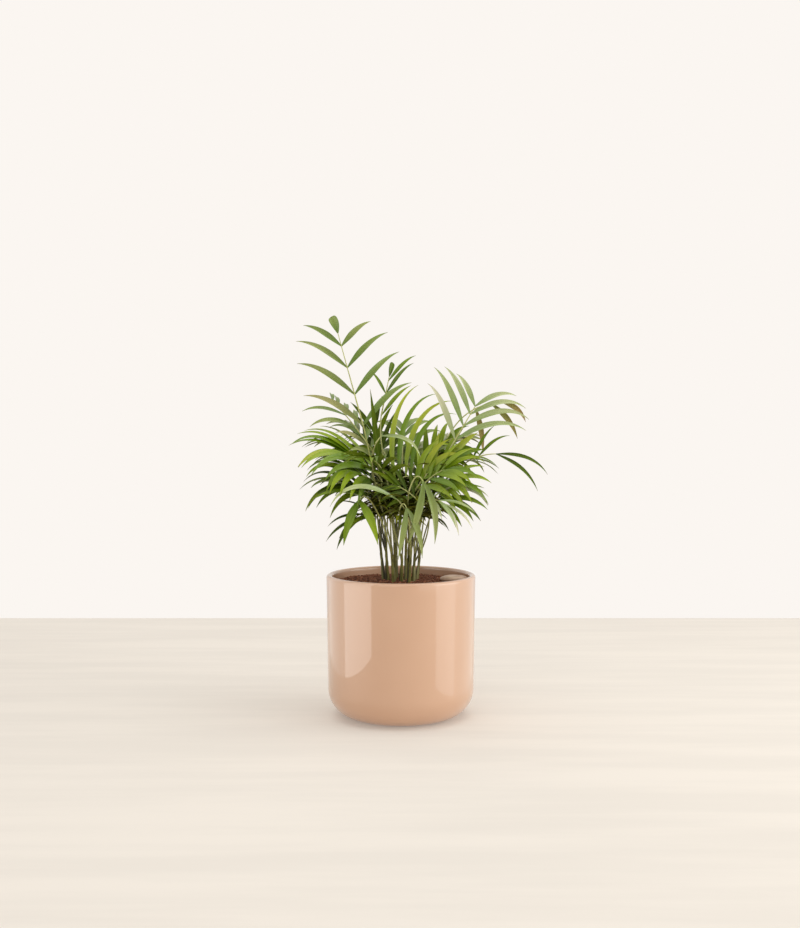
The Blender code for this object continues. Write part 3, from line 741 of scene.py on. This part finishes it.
def strip_places(tree):
    """A strip's two map values: across or round it, and along it."""
    node = add_node(tree, "ShaderNodeUVMap", {"uv_map": "strip"})
    parts = add_node(tree, "ShaderNodeSeparateXYZ", None, Vector=node.outputs["UV"])
    return parts.outputs["X"], parts.outputs["Y"]


def bumped(tree, height, distance, strength):
    node = add_node(tree, "ShaderNodeBump", None, Height=height, Distance=distance, Strength=strength)
    return node.outputs["Normal"]


def new_material(name):
    """A material, its node tree and its shader."""
    material = bpy.data.materials.new(name)
    material.use_nodes = True
    tree = material.node_tree
    return material, tree, tree.nodes["Principled BSDF"]


def set_inputs(tree, shader, **inputs):
    for name, value in inputs.items():
        feed(tree, shader.inputs[name.replace("_", " ")], value)


def colour(values, scale=1.0):
    return (*[value * scale for value in values], 1)


def leaf_material(name, values, roughness, gloss, tint):
    """A leaf's skin: deep green at its foot and yellower and lighter outward, partly its own colour and
    partly a painted sheen, with fine nerves and a dry point.
    """
    material, tree, shader = new_material(name)
    across, along = strip_places(tree)
    nerves = worked(tree, "SINE", worked(tree, "MULTIPLY", across, 20))
    cloud = noisy(tree, 70, 1)
    # From the darker foot to the lighter, yellower outer part: partly the leaf's own colour, partly a painted
    # sheen
    inner = mixed(tree, cloud, colour(values, 0.6), colour(values, 0.9))
    red, green, blue = values
    outer = mixed(tree, cloud, (red * 1.25, green * 1.06, blue * 1.5, 1),
                  (red * 1.55, green * 1.24, blue * 2.2, 1))
    light = mixed(tree, ramped(tree, along, 0.1, 0.8), inner, outer)
    lined = mixed(tree, nerves, light, colour(values, 1.6), 0.03)
    # A paler yellow-green stripe along the midrib: partly its own colour, partly a painted highlight
    midrib = worked(tree, "SUBTRACT", 1, ramped(tree, worked(tree, "ABSOLUTE", across), 0.0, 0.28))
    midrib_with_highlight = mixed(tree, midrib, lined, (0.30, 0.36, 0.06, 1), 0.14)
    tipped = mixed(tree, ramped(tree, along, 0.93, 1.0), midrib_with_highlight, (0.20, 0.14, 0.04, 1), 0.6)
    set_inputs(tree, shader, Base_Color=tipped, Roughness=roughness, Specular_IOR_Level=gloss,
               Specular_Tint=colour(tint))
    return material


def stalk_material(name, shades):
    """A green stem that darkens towards its foot, with fine lengthwise grain."""
    low, high = shades
    material, tree, shader = new_material(name)
    _, along = strip_places(tree)
    shade = mixed(tree, ramped(tree, along, 0.1, 1.0), colour(low), colour(high))
    grain = noisy(tree, 900, 3, (1, 1, 0.06))
    tinted = mixed(tree, ramped(tree, grain, 0.45, 0.7), shade, colour(low, 0.7), 0.4)
    set_inputs(tree, shader, Base_Color=tinted, Roughness=0.48, Specular_IOR_Level=0.3,
               Normal=bumped(tree, grain, 0.12 * MM, 0.6))
    return material


def cane_material():
    """Dark sheathed cane: green under brown-black papery sheaths, streaked along its length."""
    material, tree, shader = new_material("cane_sheaths")
    streak = noisy(tree, 750, 4, (1, 1, 0.05), 0.6)
    patch = noisy(tree, 120, 2)
    green = mixed(tree, patch, (0.11, 0.105, 0.028, 1), (0.27, 0.26, 0.065, 1))
    dark = mixed(tree, ramped(tree, streak, 0.32, 0.48), (0.018, 0.014, 0.006, 1), green)
    fibre = mixed(tree, ramped(tree, streak, 0.56, 0.70), dark, (0.34, 0.25, 0.12, 1), 0.7)
    set_inputs(tree, shader, Base_Color=fibre, Roughness=0.7, Specular_IOR_Level=0.15,
               Normal=bumped(tree, streak, 0.35 * MM, 0.8))
    return material


def glaze_material():
    """Warm pinkish-tan glaze: even, glassy, with the faint waviness of a dipped coat."""
    material, tree, shader = new_material("pot_glaze")
    cloud = noisy(tree, 14, 2)
    base = mixed(tree, cloud, (0.64, 0.385, 0.247, 1), (0.69, 0.43, 0.285, 1))
    speck = ramped(tree, noisy(tree, 420, 1), 0.74, 0.80)
    flecked = mixed(tree, speck, base, (0.50, 0.28, 0.16, 1), 0.12)
    set_inputs(tree, shader, Base_Color=flecked, Roughness=0.34, Specular_IOR_Level=0.35, Coat_Weight=1.0,
               Coat_Roughness=0.035, Coat_IOR=1.5, Normal=bumped(tree, noisy(tree, 34, 1), 0.25 * MM, 0.12))
    return material


def soil_material(name, values):
    material, tree, shader = new_material(name)
    crumb = noisy(tree, 700, 4, roughness=0.65)
    shade = mixed(tree, ramped(tree, crumb, 0.3, 0.7), colour(values, 0.55), colour(values, 1.35))
    set_inputs(tree, shader, Base_Color=shade, Roughness=0.93, Specular_IOR_Level=0.25,
               Normal=bumped(tree, crumb, 0.5 * MM, 0.9))
    return material


def pebble_material():
    """Pale tan stone, worn smooth, with faint darker bands and grains."""
    material, tree, shader = new_material("pebble_stone")
    band = noisy(tree, 120, 4, (0.35, 0.35, 1.6), 0.6)
    grain = noisy(tree, 1600, 2)
    base = mixed(tree, ramped(tree, band, 0.36, 0.66), (0.47, 0.30, 0.20, 1), (0.68, 0.50, 0.37, 1))
    speckled = mixed(tree, ramped(tree, grain, 0.55, 0.72), base, (0.20, 0.12, 0.08, 1), 0.35)
    set_inputs(tree, shader, Base_Color=speckled, Roughness=0.55, Normal=bumped(tree, grain, 0.08 * MM, 0.5))
    return material


def arc(centre_x, centre_z, radius, start, stop, steps):
    """Points of a profile's round stretch, its ends included, angles in degrees from outward to up."""
    angles = [math.radians(blend(start, stop, step / steps)) for step in range(steps + 1)]
    return [(centre_x + radius * math.cos(a), centre_z + radius * math.sin(a)) for a in angles]


def straight(start, stop, steps):
    """Points of a profile's straight stretch, without its ends."""
    return [tuple(blend(Vector(start), Vector(stop), step / steps)) for step in range(1, steps)]


def make_pot():
    """The pot's wall and floor, turned in one piece about its axis."""
    outside = arc(POT_SHOULDER_RADIUS - POT_CORNER_RADIUS, POT_CORNER_RADIUS, POT_CORNER_RADIUS, -90, 0,
                  ARC_STEPS)
    half_wall = POT_WALL / 2
    lip = arc(POT_RIM_RADIUS - half_wall, POT_HEIGHT - half_wall, half_wall, 0, 180, ARC_STEPS)
    radius = POT_SHOULDER_RADIUS - POT_WALL
    corner = POT_CORNER_RADIUS - POT_WALL
    inside = arc(radius - corner, POT_FLOOR + corner, corner, 0, -90, ARC_STEPS)
    profile = ([(0, 0)] + outside + straight(outside[-1], lip[0], WALL_STEPS) + lip
               + straight(lip[-1], inside[0], WALL_STEPS) + inside + [(0, POT_FLOOR)])
    bm = bmesh.new()
    points = [bm.verts.new((radius, 0, height)) for radius, height in profile]
    edges = [bm.edges.new(pair) for pair in zip(points, points[1:])]
    bmesh.ops.spin(bm, geom=points + edges, axis=UP, cent=(0, 0, 0), angle=2 * math.pi, steps=POT_SEGMENTS,
                   use_merge=True)
    bmesh.ops.remove_doubles(bm, verts=bm.verts, dist=0.001 * MM)
    bmesh.ops.recalc_face_normals(bm, faces=bm.faces)
    return finished_object("pot_glazed", bm, glaze_material(), 50)


def finished_object(name, bm, material, sharp_angle):
    mesh = bpy.data.meshes.new(name)
    bm.to_mesh(mesh)
    bm.free()
    shade_round(mesh, sharp_angle)
    mesh.materials.append(material)
    return new_object(name, mesh)


def ground_height(x, y):
    """The soil's surface: level near the wall, mounded round the canes, and lumpy all over."""
    reach = math.hypot(x, y)
    mound = MOUND_RISE * (1 - smooth((reach - MOUND_TOP_RADIUS) / (MOUND_FOOT_RADIUS - MOUND_TOP_RADIUS)))
    coarse = noise.noise(Vector((x, y, 0)) / COARSE_LUMPS[0]) * COARSE_LUMPS[1]
    fine = noise.noise(Vector((x, y, 5)) / FINE_LUMPS[0]) * FINE_LUMPS[1]
    return SOIL_LEVEL + mound + (coarse + fine)


def make_soil_bed(material):
    """The soil as a closed plug that fills the pot, its top lumpy."""
    rim = POT_RIM_RADIUS - POT_WALL - GAP / 2
    waist = POT_SHOULDER_RADIUS - POT_WALL - GAP
    foot = POT_SHOULDER_RADIUS - POT_CORNER_RADIUS
    ways = [(math.cos(angle), math.sin(angle)) for angle in round_angles(SOIL_SEGMENTS)]
    bm = bmesh.new()
    rings = [[bm.verts.new((0, 0, ground_height(0, 0)))]]
    for circle in range(1, SOIL_CIRCLES + 1):
        places = [(rim * circle / SOIL_CIRCLES * x, rim * circle / SOIL_CIRCLES * y) for x, y in ways]
        rings.append([bm.verts.new((x, y, ground_height(x, y))) for x, y in places])
    for reach, height in ((waist, SOIL_WAIST * SOIL_LEVEL), (foot, POT_FLOOR + GAP)):
        rings.append([bm.verts.new((reach * x, reach * y, height)) for x, y in ways])
    for segment in range(SOIL_SEGMENTS):
        after = (segment + 1) % SOIL_SEGMENTS
        bm.faces.new((rings[0][0], rings[1][segment], rings[1][after]))
        for inner, outer in zip(rings[1:], rings[2:]):
            bm.faces.new((inner[segment], outer[segment], outer[after], inner[after]))
    bm.faces.new(reversed(rings[-1]))
    return finished_object("soil_bed", bm, material, 60)


def make_grains(materials):
    """Crumbs of bark and peat strewn over the bed, each a rough lump of twenty faces."""
    dice = random.Random(GRAIN_SEED)
    shape = bmesh.new()
    bmesh.ops.create_icosphere(shape, subdivisions=1, radius=1)
    lump = [corner.co.copy() for corner in shape.verts]
    faces = [[corner.index for corner in face.verts] for face in shape.faces]
    shape.free()
    piece = Piece()
    rim = POT_RIM_RADIUS - POT_WALL - GRAIN_MARGIN
    for _ in range(GRAIN_COUNT):
        reach = rim * math.sqrt(dice.random())
        angle = dice.uniform(0, 2 * math.pi)
        x, y = reach * math.cos(angle), reach * math.sin(angle)
        size = blend(*GRAIN_SIZES, dice.random() ** 2.2)
        stretch = Vector([dice.uniform(*limits) for limits in GRAIN_STRETCH]) * size
        turn = Matrix.Rotation(dice.uniform(0, 2 * math.pi), 3, "Z")
        turn = turn @ Matrix.Rotation(dice.uniform(-GRAIN_TILT, GRAIN_TILT), 3, "X")
        place = Vector((x, y, ground_height(x, y) + GRAIN_RISE * size))
        corners = []
        for corner in lump:
            rough = corner * dice.uniform(*GRAIN_ROUGHNESS)
            corners.append(place + turn @ Vector(rough[axis] * stretch[axis] for axis in range(3)))
        piece.add_faces(corners, faces, dice.choices(range(len(materials)), GRAIN_WEIGHTS)[0])
    return piece.build("soil_grains", materials, 30)


def make_pebble():
    """A flat water-worn stone: a squarish ball, slightly uneven, cut level where it lies on the soil."""
    bm = bmesh.new()
    bmesh.ops.create_uvsphere(bm, u_segments=64, v_segments=36, radius=1)
    half = [size / 2 for size in PEBBLE_SIZE]
    centre = Vector((*PEBBLE_PLACE, SOIL_LEVEL + GAP + half[2] * PEBBLE_STANDING))
    for corner in bm.verts:
        way = corner.co.copy()
        flat = math.copysign(abs(way.z) ** PEBBLE_SQUARENESS, way.z)
        uneven = 1 + PEBBLE_UNEVENNESS * noise.noise(way * 1.7 + Vector((3, 1, 7)))
        out = Vector((way.x * half[0], way.y * half[1], flat * half[2]))
        corner.co = centre + out * uneven * PEBBLE_TRIM
        corner.co.z = max(corner.co.z, SOIL_LEVEL + GAP)
    return finished_object("pebble_stone", bm, pebble_material(), 40)


def cane_radius(share):
    """A cane's radius at a share of its height."""
    for (low, thick), (high, thin) in zip(CANE_TAPER, CANE_TAPER[1:]):
        if share <= high:
            return blend(thick, thin, (share - low) / (high - low))
    return CANE_TAPER[-1][1]


def add_cane(piece, number, cane):
    """One cane wrapped in overlapping sheaths: each swells to a slanting mouth, where it steps in."""
    foot, top = cane
    span = (top - foot).length
    rise = (top - foot).normalized()
    side = rise.orthogonal().normalized()
    other = rise.cross(side)
    rings = []
    places = []
    for ring in range(CANE_FINE_RINGS + 1):
        share = ring / CANE_FINE_RINGS
        corners = []
        ending = 1 - smooth((share - SHEATHS_END) / (1 - SHEATHS_END))
        for angle in round_angles(CANE_FINE_SIDES):
            height = share * span + SHEATH_SLANT * math.cos(angle - SHEATH_TURN * number)
            sheath = height / SHEATH_LENGTH + SHEATH_SHIFT * number
            swell = SHEATH_STEP * (sheath - math.floor(sheath)) ** SHEATH_SWELL * ending
            spot = Vector((math.cos(angle) * 3, math.sin(angle) * 3, share * 2 + number))
            radius = cane_radius(share) * CANE_CORE + swell + CANE_GROOVE * noise.noise(spot)
            out = side * math.cos(angle) + other * math.sin(angle)
            corners.append(blend(foot, top, share) + out * radius)
        rings.append(corners)
        places.append([(turn / CANE_FINE_SIDES, share) for turn in range(CANE_FINE_SIDES)])
    for corner in rings[0]:
        corner.z = SOIL_LEVEL
    piece.add_rings(rings, places, lambda ring, turn: 0)


def fine_stalk(cane, number, blade, sideways):
    """The whole line of a stalk. A cane's first ones come up from the soil beside it, the others in it."""
    foot, top = cane
    path = swayed(stalk_path(cane, number, blade, STALK_FINE_RINGS), sideways)
    if number >= SOIL_STRANDS:
        return path
    rise = (top - foot).normalized()
    turn = Matrix.Rotation(2 * math.pi * number / MOST_STALKS + foot.x * STRAND_TURN, 3, rise)
    side = turn @ rise.orthogonal().normalized()
    start = foot + side * STRAND_OFFSET
    start.z = SOIL_LEVEL
    lower = []
    for ring in range(STRAND_RINGS):
        share = ring / STRAND_RINGS
        lower.append(blend(start, path[0], share) + side * STRAND_OFFSET * (share - share ** 4))
    joined = lower + path[1:]
    for _ in range(STRAND_SMOOTHINGS):
        inner = [(a + b * 2 + c) / 4 for a, b, c in zip(joined, joined[1:], joined[2:])]
        joined = joined[:1] + inner + joined[-1:]
    return joined


def round_places(along):
    """A stalk's or rib's map values round one of its sections."""
    return [(side / STALK_FINE_SIDES, along) for side in range(STALK_FINE_SIDES)]


def add_stalk(piece, cane, number, blade, sideways):
    """One stalk: a sheathed foot in the soil, a slim green length, and the frond's collar."""
    path = fine_stalk(cane, number, blade, sideways)
    length = sum((after - before).length for before, after in zip(path, path[1:]))
    gone = 0
    radii = []
    places = []
    for before, place in zip(path[:1] + path, path):
        gone += (place - before).length
        share = gone / length
        sheath = STALK_SHEATH * (1 - smooth(gone / STALK_SHEATH_REACH))
        radii.append(blend(STALK_RADIUS, STALK_TIP_RADIUS, share) * STALK_FINE_SHARE + sheath)
        places.append(round_places(gone / STALK_GREEN_REACH))
    shade = (number + blade.frond.pairs) % len(STALK_COLOURS)
    piece.add_rings(tube_rings(path, radii, STALK_FINE_SIDES), places, lambda ring, side: shade)


def add_core_sprigs(piece, path, dice):
    """Small dark leaflets in the heart of the clump, along the upper part of a stalk that stands there. Their
    dark green is painted shade.
    """
    for _ in range(CORE_SPRIGS):
        share = dice.uniform(*CORE_REACH)
        place = path[round(share * (len(path) - 1))]
        if place.xy.length > CORE_RADIUS or not CORE_HEIGHTS[0] < place.z < CORE_HEIGHTS[1]:
            continue
        heading = dice.uniform(0, 360)
        for side in (-1, 1):
            reach = dice.uniform(*CORE_LEAF)
            way = polar(1, heading + side * dice.uniform(*CORE_SPREAD), dice.uniform(*CORE_RISE)).normalized()
            face = (UP - UP.dot(way) * way).normalized()
            spot = place.copy()
            steps = []
            for step in range(LEAF_FINE_STEPS + 1):
                half = CORE_LEAF_HALF * leaf_outline(step / LEAF_FINE_STEPS)
                steps.append((spot.copy(), face.cross(way), face, half))
                spot += way * reach / LEAF_FINE_STEPS
                tilt = way.cross(-UP)
                turn = Matrix.Rotation(CORE_DROOP / LEAF_FINE_STEPS * tilt.length, 3, tilt)
                way = turn @ way
                face = turn @ face
            add_leaflet(piece, steps, CORE_FOLD, dice.choice(UPPER_LOOKS))


def add_rib(piece, blade):
    """A frond's rib, from its collar to where its last leaflets part."""
    shares = [step / RIB_STEPS for step in range(RIB_STEPS + 1)]
    path = [blade.rib(share) for share in shares]
    radii = [blend(RIB_RADIUS, RIB_TIP_RADIUS, share) for share in shares]
    places = [round_places(blend(RIB_SHADE, 1, share)) for share in shares]
    piece.add_rings(tube_rings(path, radii, STALK_FINE_SIDES), places, lambda ring, side: 0)


def add_leaflet(piece, steps, fold, look):
    """A thin blade folded along its midrib, keeled beneath, its edges thin and its point drawn out."""
    rings = []
    places = []
    for number, (place, across, face, half) in enumerate(steps):
        share = number / LEAF_FINE_STEPS
        half = max(half, LEAST_HALF_WIDTH)
        thin = min(1, half / FULL_HALF_WIDTH)
        ring = []
        for where, is_upper in ACROSS:
            edge = abs(where)
            height = fold * half * edge - LEAF_GROOVE * thin * (1 - edge)
            if not is_upper:
                height -= (LEAF_THICKNESS * (1 - edge * edge) + LEAF_KEEL * max(0, 1 - 2 * edge)) * thin
            ring.append(place + across * half * where + face * height)
        rings.append(ring)
        places.append([(where, share) for where, _ in ACROSS])
    piece.add_rings(rings, places, lambda ring, side: look if side < UPPER_SIDES else UNDER_LOOK)


def leaf_pairs(frond):
    for pair in range(frond.pairs, -1, -1):
        for side in ((0,) if frond.end_leaf and pair == frond.pairs else (1, -1)):
            if (pair, side) not in frond.bare:
                yield pair, side


def hand_over(made, slot, *nodes):
    """Gives a piece its body, and hides the plain solids that it takes the place of. The slot is not used."""
    if nodes:
        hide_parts(*nodes)
    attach(made, "root")


def looks(name, make, shades, *more):
    """One material for each shade."""
    return [make(f"{name}_{number}", shade, *more) for number, shade in enumerate(shades)]


def make_plant():
    """Canes, stalks, ribs and the leaflets of each tone, as joined pieces."""
    blades = [Blade(frond) for frond in FRONDS + back_fronds()]
    canes = [cane_line(number) for number in range(CANE_COUNT)]
    space = Space()
    for number, cane in enumerate(canes):
        rings = cane_rings(cane)
        space.add(f"cane {number}", flattened(rings), ring_faces(len(rings), CANE_SIDES))
    for blade in blades:
        rings = rib_rings(blade)
        space.add(blade.frond.name, flattened(rings), ring_faces(len(rings), 4))

    cane_piece, stalk_piece, core_piece = Piece(), Piece(), Piece()
    core_dice = random.Random(CORE_SEED)
    for number, crowd in share_out(blades, canes).items():
        add_cane(cane_piece, number, canes[number])
        for stalk, blade in enumerate(crowd):
            sideways = clear_sway(canes[number], f"cane {number}", stalk, blade, space)
            add_stalk(stalk_piece, canes[number], stalk, blade, sideways)
            add_rib(stalk_piece, blade)
            add_core_sprigs(core_piece, fine_stalk(canes[number], stalk, blade, sideways), core_dice)

    canes_made = cane_piece.build("canes", [cane_material()])
    hand_over(canes_made, "stem", *[f"stem_{number + 1}" for number in range(CANE_COUNT)])
    hand_over(stalk_piece.build("stalks", looks("stalk", stalk_material, STALK_COLOURS)), "stem")
    core_looks = looks("leaf_core", leaf_material, CORE_SHADED_COLOURS, *CORE_GLOSS)
    hand_over(core_piece.build("leaves_core", core_looks, LEAF_SHARP_ANGLE), "frond_deep")

    dice = random.Random(LEAF_SEED)
    for tone, shades in LEAF_COLOURS.items():
        piece = Piece()
        own = [blade for blade in blades if blade.frond.tone == tone]
        for blade in own:
            for pair, side in leaf_pairs(blade.frond):
                swing, lift = clear_nudge(blade, pair, side, space)
                play = Play(*[dice.uniform(*reach) for reach in LEAF_PLAY])
                steps = blade.leaflet(pair, side, swing, lift, LEAF_FINE_STEPS, play)
                look = dice.choices(UPPER_LOOKS, LOOK_WEIGHTS)[0]
                add_leaflet(piece, steps, dice.uniform(*LEAF_FOLDS), look)
        materials = looks(f"leaf_{tone}", leaf_material, shades, *LEAF_GLOSS[tone])
        made = piece.build(f"leaves_{tone}", materials, LEAF_SHARP_ANGLE)
        hand_over(made, f"frond_{tone}", *[f"frond_{blade.frond.name}" for blade in own])


def make_potted_soil():
    hand_over(make_soil_bed(soil_material("soil_dark", SOIL_COLOUR)), "soil", "soil")
    hand_over(make_grains(looks("soil_grain", soil_material, GRAIN_COLOURS)), "soil")
    hand_over(make_pebble(), "pebble", "pebble")
    hand_over(make_pot(), "pot", "pot")


# Stage: a pale floor that ends behind the pot, before a warm white surround
FLOOR_SIDE = 2.6
FLOOR_BACK = 0.595
FLOOR_COLOUR = (0.60, 0.56, 0.51)
FLOOR_GLOW_COLOUR = (0.95, 0.90, 0.83)
FLOOR_GLOW = 0.22
SURROUND = (0.965, 0.922, 0.880)
AMBIENT = 0.52
GLOSS_FRONT = 0.2
GLOSS_BACK = 0.85
# Between which values of a direction's y the gloss goes over from the front's to the back's
GLOSS_REACH = (-0.2, 0.6)

WARM = (1, 0.985, 0.95)
NEUTRAL = (0.98, 0.985, 0.97)
DAYLIGHT = (0.97, 1, 1)
SKY = (0.84, 0.96, 1)
# Lamps: name, place, the point it faces, width and height, power, tint, and whether matt surfaces take it
LAMPS = [
    ("ceiling", (0.1, 0, 2.1), (0, 0, 0), (2.4, 2.4), 25, WARM, True),
    ("side", (1.4, -0.35, 0.6), (0, 0, 0.2), (1.2, 1.1), 10, NEUTRAL, True),
    ("front", (-0.5, -1.9, 1), (0, 0, 0.15), (1.4, 1.4), 8, WARM, True),
    ("back", (-0.5, 1.9, 1), (0, 0, 0.2), (1.4, 1.4), 6, WARM, True),
    ("window_left", (-0.262, -0.16, 0.32), (0, -0.16, 0.32), (0.27, 0.64), 1.2, DAYLIGHT, False),
    ("window_back", (-0.262, 0.12, 0.32), (0, 0.12, 0.32), (0.29, 0.64), 0.3, DAYLIGHT, False),
    ("window_right", (0.17, -0.105, 0.32), (0, -0.105, 0.32), (0.11, 0.64), 0.26, SKY, False),
    ("window_far", (0.17, 0.05, 0.32), (0, 0.05, 0.32), (0.2, 0.64), 0.12, SKY, False),
    ("room_right", (0.55, -0.62, 0.4), (0, 0, 0.2), (0.5, 0.8), 1.1, SKY, False),
]
# The lamp that leaves no gloss
MATT_LAMP = "back"


def make_stage():
    corners = [(-FLOOR_SIDE, -FLOOR_SIDE, 0), (FLOOR_SIDE, -FLOOR_SIDE, 0), (FLOOR_SIDE, FLOOR_BACK, 0),
               (-FLOOR_SIDE, FLOOR_BACK, 0)]
    mesh = bpy.data.meshes.new("floor")
    mesh.from_pydata(corners, [], [(0, 1, 2, 3)])
    material, tree, shader = new_material("floor_pale")
    grain = ramped(tree, noisy(tree, 18, 4, (0.12, 1, 1), 0.6), 0.35, 0.65)
    shade = mixed(tree, grain, colour(FLOOR_COLOUR, 0.965), colour(FLOOR_COLOUR, 1.03))
    set_inputs(tree, shader, Base_Color=shade, Roughness=0.9, Specular_IOR_Level=0.0,
               Emission_Color=colour(FLOOR_GLOW_COLOUR), Emission_Strength=FLOOR_GLOW)
    mesh.materials.append(material)
    new_object("floor", mesh)


def make_surround():
    """Warm white all round: full strength to the camera, softer as light, and as gloss dimmer in front."""
    world = bpy.data.worlds.new("surround")
    world.use_nodes = True
    tree = world.node_tree
    tree.nodes.clear()
    path = tree.nodes.new("ShaderNodeLightPath")
    place = tree.nodes.new("ShaderNodeTexCoord").outputs["Generated"]
    backward = add_node(tree, "ShaderNodeSeparateXYZ", None, Vector=place).outputs["Y"]
    gloss = add_node(tree, "ShaderNodeMapRange", {"interpolation_type": "SMOOTHSTEP"}, Value=backward,
                     From_Min=GLOSS_REACH[0], From_Max=GLOSS_REACH[1], To_Min=GLOSS_FRONT, To_Max=GLOSS_BACK)
    glossed = add_node(tree, "ShaderNodeMix", None, Factor=path.outputs["Is Glossy Ray"], A=AMBIENT,
                       B=gloss.outputs["Result"])
    seen = worked(tree, "MAXIMUM", glossed.outputs["Result"], path.outputs["Is Camera Ray"])
    sky = add_node(tree, "ShaderNodeBackground", None, Color=colour(SURROUND), Strength=seen)
    output = tree.nodes.new("ShaderNodeOutputWorld")
    tree.links.new(sky.outputs["Background"], output.inputs["Surface"])
    bpy.context.scene.world = world


def make_lights():
    """Soft rectangular lamps, each facing a point. The camera doesn't see them."""
    for name, place, aim, size, power, tint, lights_solids in LAMPS:
        lamp = bpy.data.lights.new(name, "AREA")
        lamp.shape = "RECTANGLE"
        lamp.size, lamp.size_y = size
        lamp.energy = power
        lamp.color = tint
        made = new_object(name, lamp)
        made.location = place
        made.rotation_euler = (Vector(aim) - Vector(place)).to_track_quat("-Z", "Y").to_euler()
        made.visible_camera = False
        made.visible_diffuse = lights_solids
        made.visible_glossy = name != MATT_LAMP


def make_camera():
    lens = bpy.data.cameras.new("camera")
    lens.lens = CAMERA_LENS
    lens.sensor_width = CAMERA_SENSOR
    made = new_object("camera", lens)
    made.location = CAMERA_PLACE
    made.rotation_euler = (math.pi / 2 - CAMERA_PITCH, 0, 0)
    bpy.context.scene.camera = made


bpy.context.scene.view_settings.view_transform = "Standard"
make_camera()
make_stage()
make_surround()
make_lights()
make_potted_soil()
make_plant()
